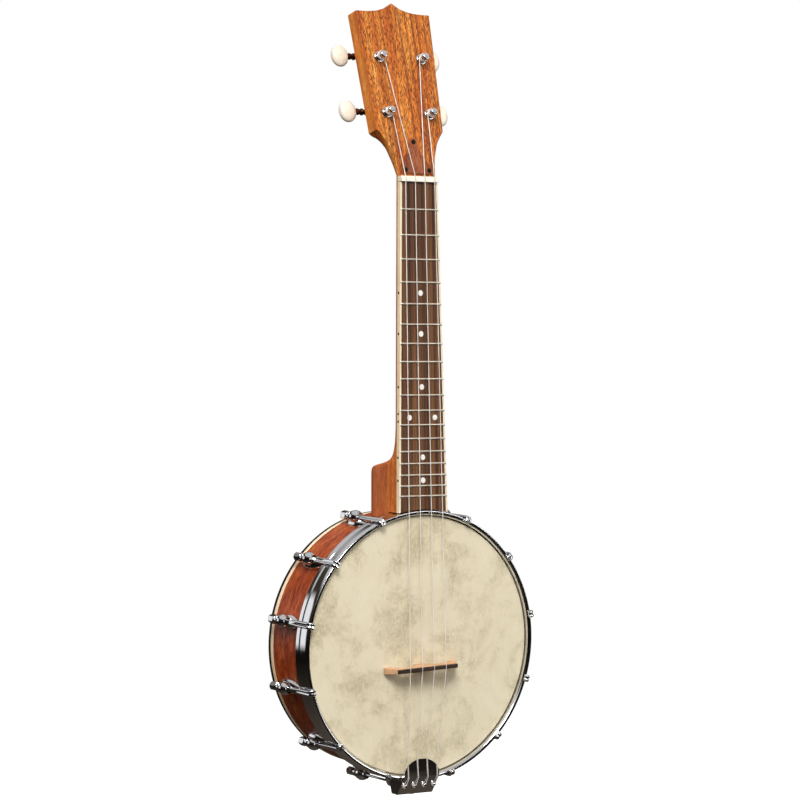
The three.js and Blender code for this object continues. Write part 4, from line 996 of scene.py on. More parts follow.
@dataclass
class Brackets:
    """Twelve hooks with their ball shoes, nuts and shoe bolts."""

    per_side: int = 6
    first: float = 22.5
    pitch: float = 28.2
    wire: float = 1.4
    bend: float = 2.6
    claw_reach: float = 4.9
    strand_width: float = 1.9
    groove: float = 0.8
    widening: tuple[float, ...] = (-33.0, -36.0, -42.0, -52.0)
    hook_radius: float = 108.5
    tail_height: float = 20.0
    claw_height: float = -67.2
    wall_radius: float = 101.6
    inner_radius: float = 92.6
    ball: float = 5.2
    ball_half: float = 6.6
    shoe_height: float = 30.0
    flange_width: float = 12.0
    flange_length: float = 30.0
    nut_flats: float = 6.5
    nut_length: float = 13.0
    nut_neck: float = 5.6
    nut_end: float = 11.5
    nut_bore: float = 1.6
    bolt_radius: float = 1.6
    bolt_head: float = 3.2
    bolt_head_height: float = 2.6
    washer_radius: float = 3.1

    def build(self) -> None:
        """Builds one bracket at the top of the pot and copies it round."""
        models = {"hook": self.hook(), "ball_shoe": self.shoe(), "hook_nut": self.nut(),
                  "shoe_bolt": self.bolt()}
        for step in range(self.per_side):
            for side in (1, -1):
                number = 2 * step + (1 if side > 0 else 2)
                turn = about("Y", side * (self.first + step * self.pitch))
                for kind, model in models.items():
                    piece = copy_of(model, f"{kind}_{number:02d}", turn)
                    dress(piece, Finish.CHROME, f"bracket_{number:02d}")
        discard(*models.values())

    def hook(self) -> Piece:
        """The bent hook: it widens to a flat double strand that ends in a two-fingered claw."""
        claw, bend = self.claw_height, self.bend
        path = [Vector((0, y, self.hook_radius)) for y in (-self.tail_height, *self.widening)]
        path += [Vector((0, claw + bend * (1 - math.sin(t)), self.hook_radius - bend * (1 - math.cos(t))))
                 for t in angles(12)]
        sizes = [1.0] * len(path)
        straight = self.claw_reach - bend
        for share, size in ((0.06, 1.0), (0.16, 0.8), (0.26, 1.0), (0.42, 1.02), (0.52, 0.8), (0.62, 1.0),
                            (0.82, 0.98), (0.94, 0.8), (1.0, 0.4)):
            path.append(Vector((0, claw, self.hook_radius - bend - straight * share)))
            sizes.append(size)
        rings = sections_along(path, [self.wire * size for size in sizes], 16)
        for i, (middle, ring) in enumerate(zip(path, rings)):
            share = min(max((i - 1) / 3, 0.0), 1.0)
            wider = 1 + (self.strand_width - 1) * share
            for point in ring:
                pinch = self.groove * share * (1 - abs(point.x) / self.wire) ** 2
                point.y += (middle.y - point.y) * pinch
                point.z += (middle.z - point.z) * pinch
                point.x *= wider
        return shade(lofted("hook_model", rings), 40)

    def shoe(self) -> Piece:
        """The ball shoe: a pierced ball that rises from a thick, domed almond on the rim."""
        ball, half, collar = self.ball, self.ball_half, self.nut_flats / 2
        start = math.asin(collar / ball)
        arc = [(ball * math.sin(t), -half * math.cos(t)) for t in angles(18, math.pi - 2 * start, start)]
        profile = [(0.0, -half), (collar, -half), *arc, (collar, half), (0.0, half)]
        globe = turned("ball_model", profile, 40)
        wall = self.wall_radius - self.hook_radius
        foot = lofted("foot_model", [
            [Vector((wide * math.cos(t), long * math.sin(t), wall * place))
             for t in angles(28, FULL_TURN)[:-1]]
            for place, wide, long in ((0.0, 3.6, 4.6), (0.45, 3.5, 4.6), (0.8, 3.8, 5.4))])
        half_wide, half_long = self.flange_width / 2, self.flange_length / 2
        flange = lofted("flange_model", [
            [Vector((half_wide * size * math.cos(t) * (1 - 0.3 * abs(math.sin(t)) ** 3),
                     half_long * size * math.sin(t), wall + rise))
             for t in angles(48, FULL_TURN)[:-1]]
            for rise, size in ((0.0, 1.0), (2.0, 1.0), (3.0, 0.95), (4.2, 0.82), (5.2, 0.62), (5.8, 0.4))])
        whole = shape_with(globe, foot, Cut.TOGETHER)
        whole = shape_with(whole, flange, Cut.TOGETHER)
        whole.data.transform(translation(0, -self.shoe_height, self.hook_radius))
        return shade(whole, 40)

    def nut(self) -> Piece:
        """The hexagonal nut, turned down to a round neck with a collar by the shoe."""
        across = self.nut_flats / 2 / math.cos(math.pi / 6)
        end = -self.nut_end
        seat = -(self.nut_end + self.nut_length)
        neck = seat + self.nut_neck
        body = turned("nut_model", rectangle(0.0, across, seat + 0.8, end), 6)
        lathe = turned("nut_lathe", [
            (0.0, seat - 1), (across * 0.7, seat), (across * 0.7, neck), (across * 0.9, neck + 0.2),
            (across * 1.02, neck + 0.9), (across * 1.02, end - 1.1), (across * 0.84, end),
            (0.0, end + 0.1)], 32)
        shape_with(body, lathe, Cut.COMMON)
        collar = turned("nut_collar", rounded(rectangle(0.0, across * 1.05, seat, seat + 1.3), 0.35), 32)
        shape_with(body, collar, Cut.TOGETHER)
        hole = self.nut_bore
        bore = turned("nut_bore", [(0.0, end - 4), (hole, end - 4), (hole, end - 0.5), (hole + 0.5, end + 1),
                                   (0.0, end + 1)], 24)
        shape_with(body, bore, Cut.AWAY)
        body.data.transform(translation(0, 0, self.hook_radius))
        return shade(body)

    def bolt(self) -> Piece:
        """The shoe's bolt, with its hexagonal head and washer inside the rim."""
        face = self.inner_radius - 0.3
        shank = turned("bolt_model", rectangle(0.0, self.bolt_radius, face - 0.4, self.hook_radius - 2),
                       20, Axis.Z)
        washer = turned("washer", rounded(
            rectangle(0.0, self.washer_radius, face - 0.5, face), 0.2), 32, Axis.Z)
        crown, seat = face - self.bolt_head_height, face - 0.45
        wide = self.bolt_head
        head = turned("bolt_head", [(0.0, crown), (wide * 0.8, crown), (wide, crown + 0.4), (wide, seat),
                                    (0.0, seat)], 6, Axis.Z)
        whole = joined("bolt_model", [shank, washer, head])
        whole.data.transform(translation(0, -self.shoe_height, 0))
        return shade(whole)


@dataclass
class Rods:
    """The rod across the pot, the neck bolt and the nut that holds the tailpiece's strap."""

    height: float = 26.0
    bolt_height: float = 38.0
    radius: float = 4.0
    end_radius: float = 2.6
    inside: float = 92.0
    heel_end: float = 125.6
    tail_end: float = -113.0
    strap_face: float = -107.4
    wall: float = 101.6
    nut_radius: float = 5.0
    nut_length: float = 8.0
    washer_radius: float = 6.2
    head_radius: float = 5.0
    head_height: float = 3.4

    def build(self) -> None:
        """Builds the rod, its spacer and end nut, and the neck bolt."""
        end, inside = self.end_radius, self.inside
        rod = turned("pot_rod", rounded([
            (0.0, self.tail_end), (end, self.tail_end), (end, -inside), (self.radius, -inside),
            (self.radius, inside), (end, inside), (end, self.heel_end), (0.0, self.heel_end)], 0.4),
            32, Axis.Z)
        self.place(rod, self.height, Finish.STEEL, "coordinator_rod")
        spacer = turned("rod_spacer", rounded(rectangle(
            end + 0.3, self.nut_radius, self.strap_face + 0.2, -self.wall - 0.1), 0.4), 40, Axis.Z)
        self.place(spacer, self.height, Finish.CHROME, "end_spacer")
        face, wide = self.strap_face - 1.7, self.nut_radius
        dome = [(wide * 0.86 * math.cos(t), face - self.nut_length * (0.5 + 0.5 * math.sin(t)))
                for t in angles(8)[:-1]]
        acorn = turned("acorn_nut", [(0.0, face), (wide, face), (wide, face - 3.6), *dome,
                                     (0.0, face - self.nut_length)], 40, Axis.Z)
        flats = turned("acorn_flats", rectangle(0.0, wide, face + 1, face - 9), 6, Axis.Z)
        shape_with(acorn, flats, Cut.COMMON)
        self.place(acorn, self.height, Finish.CHROME, "end_nut")
        bolt = turned("heel_bolt_shank", rounded(
            rectangle(0.0, end, inside - 0.5, self.heel_end), 0.4), 32, Axis.Z)
        washer = turned("heel_washer", rounded(
            rectangle(0.0, self.washer_radius, inside - 0.7, inside), 0.2), 40, Axis.Z)
        crown, seat, wide = inside - self.head_height, inside - 0.6, self.head_radius
        hexagon = turned("heel_bolt_head", [
            (0.0, crown), (wide - 0.7, crown), (wide, crown + 0.5), (wide, seat), (0.0, seat)], 6, Axis.Z)
        self.place(joined("heel_bolt", [bolt, washer, hexagon]), self.bolt_height, Finish.STEEL, "neck_bolt")

    def place(self, piece: Piece, height: float, finish: Finish, node: str) -> None:
        """Moves a piece of the pot's axis to its height in front of the back, and dresses it."""
        piece.data.transform(translation(0, -height, 0))
        dress(shade(piece), finish, node)


@dataclass
class Tailpiece:
    """The domed plate over the hoop, the sloping box with its pegs, and the strap below."""

    half_width: float = 16.6
    front: float = -68.9
    thickness: float = 1.5
    plate_end: float = -102.6
    plate_length: float = 14.0
    box_length: float = 15.0
    lip_drop: float = 9.5
    lip_depth: float = 8.0
    depth: float = 20.5
    wall: float = 1.5
    peg_radius: float = 1.1
    peg_length: float = 3.2
    hoop_outer: float = 107.1
    hoop_front: float = -65.8
    rod_height: float = 26.0
    strap_half: float = 5.5
    strap_face: float = -107.4
    strap_thickness: float = 1.6
    strap_hole: float = 2.9
    lug_length: float = 5.6
    screw_radius: float = 1.3

    @property
    def lip_end(self) -> float:
        """The lowest face of the box."""
        return self.plate_end - self.box_length

    @property
    def lip_front(self) -> float:
        """The front of the box's lower lip."""
        return self.front + self.lip_drop

    def build(self) -> None:
        """Builds the tailpiece, its strap and the screw between them."""
        self.body()
        self.strap()

    def body(self) -> None:
        """The plate and the box as one polished piece, and the pegs for the strings."""
        half = self.half_width
        dome = [(half * math.cos(t), self.plate_end + self.plate_length * math.sin(t) ** 0.9)
                for t in angles(40, math.pi)]
        plate = slab("tailpiece_plate", dome, self.front, self.front + self.thickness, Axis.Y)
        back, cheek = self.front + self.depth, self.plate_end + self.wall
        outer = slab("tailpiece_box", [
            (self.front + self.thickness / 2, cheek), (self.front, self.plate_end),
            (self.lip_front, self.lip_end), (self.lip_front + self.lip_depth, self.lip_end),
            (back, self.lip_end + self.lip_depth), (back, cheek)], -half, half, Axis.X)
        inner = self.front + self.thickness
        hollow = slab("tailpiece_hollow", [
            (inner, self.plate_end + 4), (inner, self.plate_end),
            (self.lip_front + self.thickness, self.lip_end + self.wall), (back + 4, self.lip_end + self.wall),
            (back + 4, self.plate_end + 4)], -half + self.wall, half - self.wall, Axis.X)
        shape_with(outer, hollow, Cut.AWAY)
        whole = shape_with(outer, plate, Cut.TOGETHER)
        room = turned("hoop_room", rectangle(0.0, self.hoop_outer, self.hoop_front, 0.0), 256)
        shape_with(whole, room, Cut.AWAY)
        soften(whole, 0.45, 3, 40)
        dress(shade(whole, 40), Finish.CHROME, "tailpiece")
        face = self.front + self.lip_drop / 2
        peg = turned("peg_model", rounded(
            rectangle(0.0, self.peg_radius, face - self.peg_length, face + self.wall), 0.4), 24)
        for i, share in enumerate(Strings.shares):
            place = translation(share * self.half_width * 0.55, 0, self.plate_end - self.box_length / 2)
            dress(shade(copy_of(peg, f"string_peg_{i + 1}", place)), Finish.CHROME, "tailpiece")
        discard(peg)

    def strap(self) -> None:
        """The strap from the rod's end nut to the box, and its screw."""
        top = self.lip_front + self.thickness + 0.6
        lug = self.lip_end + self.wall + 0.3
        thick, face, end = self.strap_thickness, self.strap_face, self.strap_half - self.rod_height
        path = [(top, lug), (top + self.lug_length, lug), (top + self.lug_length, lug + thick),
                (top + thick, lug + thick), (top + thick, face - thick), (end, face - thick), (end, face),
                (top, face)]
        strap = slab("strap_band", path, -self.strap_half, self.strap_half, Axis.X)
        hole = turned("strap_hole", rectangle(0.0, self.strap_hole, -120.0, -100.0), 32, Axis.Z)
        hole.data.transform(translation(0, -self.rod_height, 0))
        shape_with(strap, hole, Cut.AWAY)
        soften(strap, 0.35, 2)
        dress(shade(strap), Finish.CHROME, "tailpiece_strap")
        screw = Screw(2.3, 1.3, self.screw_radius, 5.2).built("strap_screw")
        height = top + thick + 0.3 + self.screw_radius
        screw.data.transform(translation(0, height, self.lip_end) @ about("X", -90))
        dress(screw, Finish.STEEL, "tailpiece_screw")


@dataclass
class NeckLine:
    """The frames and the widths that the neck, the fretboard and the headstock share."""

    scale_length: float = 381.0
    last_fret: float = 13.1
    fret_count: int = 18
    nut_width: float = 35.3
    end_width: float = 46.0
    nut_length: float = 5.0
    neck_angle: float = 3.5
    head_angle: float = 13.3
    fret_plane: float = -64.6
    joint_radius: float = 105.0
    drop: float = 3.8
    board_thickness: float = 3.8
    rise: float = 1.0
    start: float = -12.0
    binding: float = 1.7
    room_front: float = -73.5
    room_step: float = -48.4
    room_back: float = 4.0
    room_hoop: float = 107.4
    room_rim: float = 101.9

    @property
    def nut_station(self) -> float:
        """The nut's front face, along the neck."""
        return self.last_fret + self.scale_length * (1 - 2 ** (-self.fret_count / 12))

    @property
    def nut_back(self) -> float:
        """The nut's far face, where the headstock starts."""
        return self.nut_station + self.nut_length

    @property
    def neck(self) -> Matrix:
        """The neck's frame: Z along it, Y into its depth."""
        return translation(0, self.fret_plane, self.joint_radius) @ about("X", -self.neck_angle)

    @property
    def headstock(self) -> Matrix:
        """The headstock's frame: Z up its face, Y into its depth."""
        return self.neck @ translation(0, self.drop, self.nut_back) @ about("X", -self.head_angle)

    def fret_station(self, fret: int) -> float:
        """A fret's place along the neck, in millimetres."""
        return self.nut_station - self.scale_length * (1 - 2 ** (-fret / 12))

    def space_middle(self, fret: int) -> float:
        """The middle between a fret and the one before it."""
        return (self.fret_station(fret) + self.fret_station(fret - 1)) / 2

    def half_width(self, station: float) -> float:
        """Half the neck's width at a place along it."""
        share = (self.nut_station - station) / self.nut_station
        return (self.nut_width + (self.end_width - self.nut_width) * share) / 2

    def pot_room(self) -> Piece:
        """A body as large as the pot with its hoop, which trims what meets it."""
        front, step, back = self.room_front, self.room_step, self.room_back
        return turned("pot_room", [
            (0.0, front), (self.room_hoop, front), (self.room_hoop, step), (self.room_rim, step),
            (self.room_rim, back), (0.0, back)], 256)


@dataclass
class Neck:
    """The neck with its headstock and heel, carved as one lofted body."""

    line: NeckLine
    top: float = 5.0
    depth_at_nut: float = 11.7
    depth_at_heel: float = 12.5
    power: float = 1.75
    heel_depth: float = 49.0
    heel_power: float = 4.0
    heel_reach: float = 70.0
    glue_depth: float = 17.7
    head_thickness: float = 12.5
    head_length: float = 144.0
    crest: float = 8.0
    shoulder: float = 37.7
    bottom_half: float = 31.4
    top_half: float = 35.0
    throat_power: float = 60.0
    chamfer: float = 0.45
    well_radius: float = 4.15
    sides: int = 48
    # place as a share of the heel's reach, growth of depth, growth of squareness
    heel_shares: tuple[tuple[float, float, float], ...] = (
        (0.433, 1, 1), (0.483, 0.985, 1), (0.521, 0.93, 0.92), (0.539, 0.82, 0.75), (0.561, 0.6, 0.42),
        (0.59, 0.41, 0.2), (0.635, 0.265, 0.1), (0.7, 0.155, 0.06), (0.795, 0.073, 0.02), (0.92, 0.01, 0.01))
    # half width as a share of the shoulder's, place as a share of its height, squareness
    throat_shares: tuple[tuple[float, float, float], ...] = (
        (0.6, 0.26, 0.008), (0.655, 0.46, 0.015), (0.755, 0.7, 0.025), (0.9, 0.9, 0.1), (1, 1, 1))
    crest_shares: tuple[tuple[float, float], ...] = (
        (0.69, 0.02), (0.44, 0.14), (0.26, 0.36), (0.18, 0.5), (0, 1))

    def section(self, station: float, top: float, half: float, depth: float, power: float) -> list[Vector]:
        """A half-round to nearly square section, with its flat side in front.

        Args:
            station: Its place along Z.
            top: The depth of its flat side.
            half: Its half width.
            depth: How deep it is.
            power: 1.75 is rounder than an ellipse, 10 nearly square.

        Returns:
            The section's points.
        """
        ring = []
        for turn in angles(self.sides, math.pi):
            c, s = math.cos(turn), abs(math.sin(turn))
            across = half * math.copysign(abs(c) ** (2 / power), c)
            ring.append(Vector((across, top + depth * s ** (2 / power), station)))
        return ring

    @staticmethod
    def between(rows: Sequence[Sequence[float]], place: float) -> list[float]:
        """Reads a table of shares between its rows, smoothly.

        Args:
            rows: Rows that start with their place, in rising order.
            place: Where to read.

        Returns:
            The other values of the row at that place.
        """
        index = max(next((i for i, row in enumerate(rows) if row[0] >= place), len(rows) - 1), 1)
        low, high = rows[index - 1], rows[index]
        before, after = rows[max(index - 2, 0)], rows[min(index + 1, len(rows) - 1)]
        span = high[0] - low[0]
        t = min(max((place - low[0]) / span, 0.0), 1.0)
        values = []
        for k in range(1, len(low)):
            slope_in = (high[k] - before[k]) / (high[0] - before[0])
            slope_out = (after[k] - low[k]) / (after[0] - low[0])
            steepest = 3 * (high[k] - low[k]) / span
            least, most = min(steepest, 0), max(steepest, 0)
            slope_in, slope_out = min(max(slope_in, least), most), min(max(slope_out, least), most)
            values.append(low[k] * (2 * t**3 - 3 * t**2 + 1) + slope_in * span * (t**3 - 2 * t**2 + t)
                          + high[k] * (3 * t**2 - 2 * t**3) + slope_out * span * (t**3 - t**2))
        return values

    def build(self) -> None:
        """Builds the neck and the heel block below its glue line."""
        shaft = lofted("neck_wood", self.rings())
        heel = copy_of(shaft, "heel_wood", Matrix())
        for piece, is_neck, seam in ((shaft, True, 0.0), (heel, False, 0.08)):
            with editing(piece):
                bpy.ops.mesh.bisect(plane_co=(0, (self.glue_depth + seam) * MM, 0), plane_no=(0, 1, 0),
                                    use_fill=True, clear_outer=is_neck, clear_inner=not is_neck)
        shape_with(shaft, self.far_part(), Cut.TOGETHER)
        shape_with(shaft, self.headstock_body(), Cut.TOGETHER)
        for piece in (shaft, heel):
            piece.data.transform(self.line.neck)
            shape_with(piece, self.line.pot_room(), Cut.AWAY)
        shape_with(shaft, self.wells(), Cut.AWAY)
        dress(shade(shaft, 28), Finish.NECK_WOOD, "neck")
        dress(shade(heel, 28), Finish.HEEL_WOOD, "heel_block")

    def rings(self) -> list[list[Vector]]:
        """The sections from the pot to the headstock."""
        line = self.line
        rings = []
        stations = [line.start, 0.0, 20.0, *(28.0 + i for i in range(43))]
        stations += [line.nut_back * share for share in (0.35, 0.5, 0.7, 0.85, 1.0)]
        rows = [*self.heel_shares, (1.0, 0.0, 0.0)]
        for station in stations:
            growth, square = self.between(rows, station / self.heel_reach)
            along = max(0.0, (station - self.heel_reach) / (line.nut_back - self.heel_reach))
            plain = self.depth_at_heel + (self.depth_at_nut - self.depth_at_heel) * along
            depth = plain + (self.heel_depth - plain) * growth
            power = self.power + (self.heel_power - self.power) * square
            rings.append(self.section(station, self.top, line.half_width(station), depth, power))
        return rings

    def far_part(self) -> Piece:
        """The neck's end inside the headstock, past the nut."""
        back, half_width = self.line.nut_back, self.line.half_width
        return lofted("neck_end", [
            self.section(back - 4, self.top, half_width(back - 4), self.depth_at_nut - 0.05, self.power),
            self.section(back + 2, self.top, half_width(back) - 0.05, self.depth_at_nut - 0.1, self.power)])

    def headstock_body(self) -> Piece:
        """The headstock: the throat swells from the neck's section to a flat slab with a pointed crest."""
        corner = self.head_length - self.crest
        rows = [(along, across * self.bottom_half, square) for across, along, square in self.throat_shares]
        rows.insert(0, (0.0, self.line.half_width(self.line.nut_back), 0.0))
        rings = []
        for place in (i / 28 for i in range(29)):
            half, square = self.between(rows, place)
            power = self.power + (self.throat_power - self.power) * square
            rings.append(self.face_section(place * self.shoulder, half, power))
        slope = (self.top_half - self.bottom_half) / (corner - self.shoulder)
        end = self.head_length + 3
        half = self.bottom_half + slope * (end - self.shoulder)
        rings.append(self.face_section(end, half, self.throat_power))
        head = lofted("headstock_body", rings)
        right = [(self.top_half * across, corner + self.crest * along)
                 for across, along in self.crest_points()]
        wide = self.top_half * 1.2
        left = [(-x, z) for x, z in reversed(right[:-1])]
        outline = [(-wide, -5.0), (wide, -5.0), (wide, corner), *right, *left, (-wide, corner)]
        shape_with(head, slab("crest_saw", outline, -5.0, self.head_thickness + 5, Axis.Y), Cut.COMMON)
        self.ease_crest(head, corner)
        head.data.transform(self.line.neck.inverted() @ self.line.headstock)
        return head

    def face_section(self, station: float, half: float, power: float) -> list[Vector]:
        """A section of the headstock, with its front edges eased.

        Args:
            station: Its place along Z.
            half: Its half width.
            power: How square it is.

        Returns:
            The section's points.
        """
        ease = self.chamfer
        ring = self.section(station, 0.0, half, self.head_thickness, power)
        right = [Vector((half - ease, 0.0, station)), Vector((half - ease * 0.3, ease * 0.3, station))]
        left = [Vector((-point.x, point.y, station)) for point in reversed(right)]
        first, last = ring[1], ring[-2]
        ring[1] = Vector((max(first.x, half - 0.02), max(first.y, ease), station))
        ring[-2] = Vector((min(last.x, 0.02 - half), max(last.y, ease), station))
        return [*right, *ring[1:-1], *left]

    def ease_crest(self, head: Piece, corner: float) -> None:
        """Bevels the front and back edges of the crest's saw cut.

        Args:
            head: The headstock.
            corner: Where the crest starts.
        """
        with editing(head):
            bm = bmesh.from_edit_mesh(head.data)
            for edge in bm.edges:
                tops = [face.normal.z > 0.5 for face in edge.link_faces]
                edge.select = len(tops) == 2 and tops[0] != tops[1] and min(
                    vertex.co.z for vertex in edge.verts) > (corner - 1) * MM
            bm.select_mode = {"EDGE"}
            bm.select_flush_mode()
            bmesh.update_edit_mesh(head.data)
            bpy.ops.mesh.select_mode(type="EDGE")
            bpy.ops.mesh.bevel(offset=self.chamfer * MM, segments=2, affect="EDGES")
            bpy.ops.mesh.select_mode(type="VERT")

    def crest_points(self) -> list[tuple[float, float]]:
        """The crest's outline from its right corner to its point, as shares."""
        rows = [(-1.0, 0.0), *((-across, along) for across, along in self.crest_shares)]
        return [(-across, self.between(rows, across)[0]) for across in (i / 24 - 1.0 for i in range(1, 25))]

    def wells(self) -> Piece:
        """The four bores for the posts, in the headstock."""
        tools = []
        for corner in Corner:
            well = turned("well", rectangle(0.0, self.well_radius, -4.0, 16.0), 40)
            well.data.transform(self.line.headstock @ Tuners.place(corner))
            tools.append(well)
        return joined("wells", tools)


@dataclass
class Fretboard:
    """The dark board with its frets, markers, bindings and the nut."""

    line: NeckLine
    fret_width: float = 1.45
    fret_inset: float = 0.45
    marker: float = 4.5
    side_dot: float = 2.1
    marker_frets: tuple[int, ...] = (5, 7, 10, 15, 17)
    double_fret: int = 12
    double_spacing: float = 24.0

    def build(self) -> None:
        """Builds the board and all that lies on it."""
        self.board()
        self.frets()
        self.markers()
        self.nut()

    def nut(self) -> None:
        """The nut: a copy of the CAD's, with its loose triangles merged and its edges rounded."""
        nut = bpy.data.objects.new("nut_saddle", bpy.data.objects["nut"].data.copy())
        nut.data.name = nut.name
        bpy.context.scene.collection.objects.link(nut)
        with editing(nut):
            bpy.ops.mesh.remove_doubles(threshold=MM / 200)
            bpy.ops.mesh.dissolve_limited(angle_limit=math.radians(1.0))
        soften(nut, 0.35, 3)
        dress(shade(nut), Finish.BONE, "nut")

    def board(self) -> None:
        """The board between its bindings, trimmed round the pot."""
        line = self.line
        low, high = line.rise, line.rise + line.board_thickness + 0.1
        near, far = line.start, line.nut_station
        seam = line.binding + 0.04
        half_near, half_far = line.half_width(near) - seam, line.half_width(far) - seam
        board = slab("board_wood", [(-half_near, near), (half_near, near), (half_far, far), (-half_far, far)],
                     low, high, Axis.Y)
        board.data.transform(line.neck)
        shape_with(board, line.pot_room(), Cut.AWAY)
        dress(shade(board), Finish.BOARD_WOOD, "fretboard")
        for name, side in (("right", 1), ("left", -1)):
            strip = slab(f"board_edge_{name}", [
                (side * (line.half_width(near) - line.binding), near), (side * line.half_width(near), near),
                (side * line.half_width(far), far), (side * (line.half_width(far) - line.binding), far)],
                low, high, Axis.Y)
            strip.data.transform(line.neck)
            shape_with(strip, line.pot_room(), Cut.AWAY)
            soften(strip, 0.25)
            dress(shade(strip), Finish.CREAM, f"fretboard_binding_{name}")

    def frets(self) -> None:
        """The frets: crowned wires with sloped ends."""
        line = self.line
        for fret in range(1, line.fret_count + 1):
            station = line.fret_station(fret)
            half = line.half_width(station) - self.fret_inset
            rings = []
            for x, size in ((-half, 0.35), (-half + 0.5, 0.85), (-half + 1.1, 1.0), (half - 1.1, 1.0),
                            (half - 0.5, 0.85), (half, 0.35)):
                wide, low = self.fret_width / 2, line.rise - 0.12
                ring = [Vector((x, line.rise + 0.02, station + side * wide)) for side in (-1, 1)]
                ring += [Vector((x, low - low * size * math.sin(turn), station + wide * math.cos(turn)))
                         for turn in angles(8, math.pi)]
                rings.append(ring)
            wire = lofted(f"fret_{fret:02d}", rings)
            wire.data.transform(line.neck)
            dress(shade(wire, 50), Finish.NICKEL, "fretboard")

    def markers(self) -> None:
        """Pearl position markers on the board and dark dots on its left binding."""
        line = self.line
        half, depth = self.double_spacing / 2, line.rise + line.board_thickness / 2
        pearls = [(fret, 0.0) for fret in self.marker_frets] + [(self.double_fret, x) for x in (-half, half)]
        pearl = turned("marker_model", rounded(
            rectangle(0.0, self.marker / 2, line.rise - 0.04, line.rise + 1), 0.1), 40)
        for number, (fret, x) in enumerate(pearls, 1):
            place = line.neck @ translation(x, 0, line.space_middle(fret))
            dress(shade(copy_of(pearl, f"pearl_marker_{number}", place)), Finish.PEARL)
        dots = [(fret, 0.0) for fret in self.marker_frets] + [(self.double_fret, z) for z in (-3.0, 3.0)]
        dot = turned("dot_model", rectangle(0.0, self.side_dot / 2, -0.05, 0.6), 24, Axis.X)
        for number, (fret, shift) in enumerate(dots, 1):
            middle = line.space_middle(fret) + shift
            place = line.neck @ translation(-line.half_width(middle), depth, middle)
            dress(shade(copy_of(dot, f"side_dot_{number}", place)), Finish.BLACK)
        discard(pearl, dot)


@dataclass
class RodCover:
    """The truss rod's cover on the headstock's face, and the rod itself."""

    line: NeckLine
    length: float = 29.5
    half_width: float = 14.4
    thickness: float = 1.8
    start: float = 1.6
    tip_radius: float = 3.4
    edge_shares: tuple[tuple[float, float], ...] = (
        (0.0, 1.0), (0.05, 1.0), (0.24, 0.87), (0.42, 0.62), (0.64, 0.36), (0.84, 0.26))

    def build(self) -> None:
        """Builds the cover and its screws."""
        right = [(self.half_width, self.start)]
        for place in (0.84 * i / 20 for i in range(1, 21)):
            share = Neck.between(self.edge_shares, place)[0]
            right.append((self.half_width * share, self.start + self.length * place))
        tip = self.start + self.length
        cap = [(self.tip_radius * math.cos(t), tip - self.tip_radius + self.tip_radius * math.sin(t))
               for t in (math.pi * (i + 0.5) / 12 for i in range(12))]
        left = [(-x, z) for x, z in reversed(right)]
        cover = slab("rod_cover", [*right, *cap, *left], -self.thickness - 0.1, 0.0, Axis.Y)
        soften(cover, 0.5, 3, 40)
        cover.data.transform(self.line.headstock)
        dress(shade(cover, 40), Finish.COVER_WOOD, "truss_rod_cover")
        screw = Screw(1.9, 0.9, 1.2, 6.0).built("cover_screw_model")
        low, wide = self.start + self.length * 0.095, self.half_width * 0.77
        for i, (x, z) in enumerate([(wide, low), (-wide, low), (0.0, tip - self.tip_radius)]):
            seat = self.line.headstock @ translation(x, -self.thickness - 0.1, z)
            place = seat @ about("X", 180) @ about("Y", 20 * i)
            dress(copy_of(screw, f"cover_screw_{i + 1}", place), Finish.BLACK_SCREW, "truss_rod_cover")
        discard(screw)
        rod = bpy.data.objects["truss_rod"]
        rod.data.materials.clear()
        rod.data.materials.append(Finish.DARK_STEEL.material)


@dataclass
class Bridge:
    """The floating bridge: three maple feet under two arches, with an ebony strip on top."""

    station: float = -17.09
    height: float = 13.4
    head_height: float = 62.1
    top_length: float = 55.8
    foot_length: float = 67.2
    top_width: float = 3.2
    foot_width: float = 5.0
    strip: float = 2.4
    foot_height: float = 2.6
    arch_place: float = 16.0
    arch_half: float = 10.5
    arch_height: float = 6.0
    notch: float = 0.9
    turn: float = 2.4

    def build(self) -> None:
        """Builds the base and the notched strip, turned a little as a floating bridge is set."""
        here = translation(0, 0, self.station)
        turned_place = here @ about("Y", -self.turn) @ here.inverted()
        foot, top = -self.head_height, -(self.head_height + self.height)
        under = top + self.strip
        half_foot, half_top = self.foot_length / 2, self.top_length / 2
        toe = foot - self.foot_height
        outline = [(-half_foot, foot), (-half_foot, toe), (-half_top, under), (half_top, under),
                   (half_foot, toe), (half_foot, foot)]
        for side in (1, -1):
            outline += [(side * self.arch_place + self.arch_half * math.cos(t),
                         foot - self.arch_height * math.sin(t)) for t in angles(24, math.pi)]
        half_thick = self.foot_width / 2
        base = slab("bridge_maple", outline, self.station - half_thick, self.station + half_thick, Axis.Z)
        taper = slab("bridge_taper", [
            (foot + 2, self.station - half_thick), (foot, self.station - half_thick),
            (top, self.station - self.top_width / 2), (top, self.station + self.top_width / 2),
            (foot, self.station + half_thick), (foot + 2, self.station + half_thick)],
            -self.foot_length, self.foot_length, Axis.X)
        shape_with(base, taper, Cut.COMMON)
        soften(base, 0.3, 2, 40)
        base.data.transform(turned_place)
        dress(shade(base, 40), Finish.MAPLE, "bridge_base")
        strip = block("bridge_ebony", (-half_top, top, self.station - self.top_width / 2),
                      (half_top, under - 0.02, self.station + self.top_width / 2))
        soften(strip, 0.3, 2)
        for share in Strings.shares:
            x = share * Strings.bridge_spacing
            notch = turned("notch", rectangle(0.0, 0.5, -4.0, 4.0), 20, Axis.Z)
            notch.data.transform(translation(x, top + self.notch - 0.62, self.station))
            shape_with(strip, notch, Cut.AWAY)
        strip.data.transform(turned_place)
        dress(shade(strip, 40), Finish.EBONY, "bridge_top")


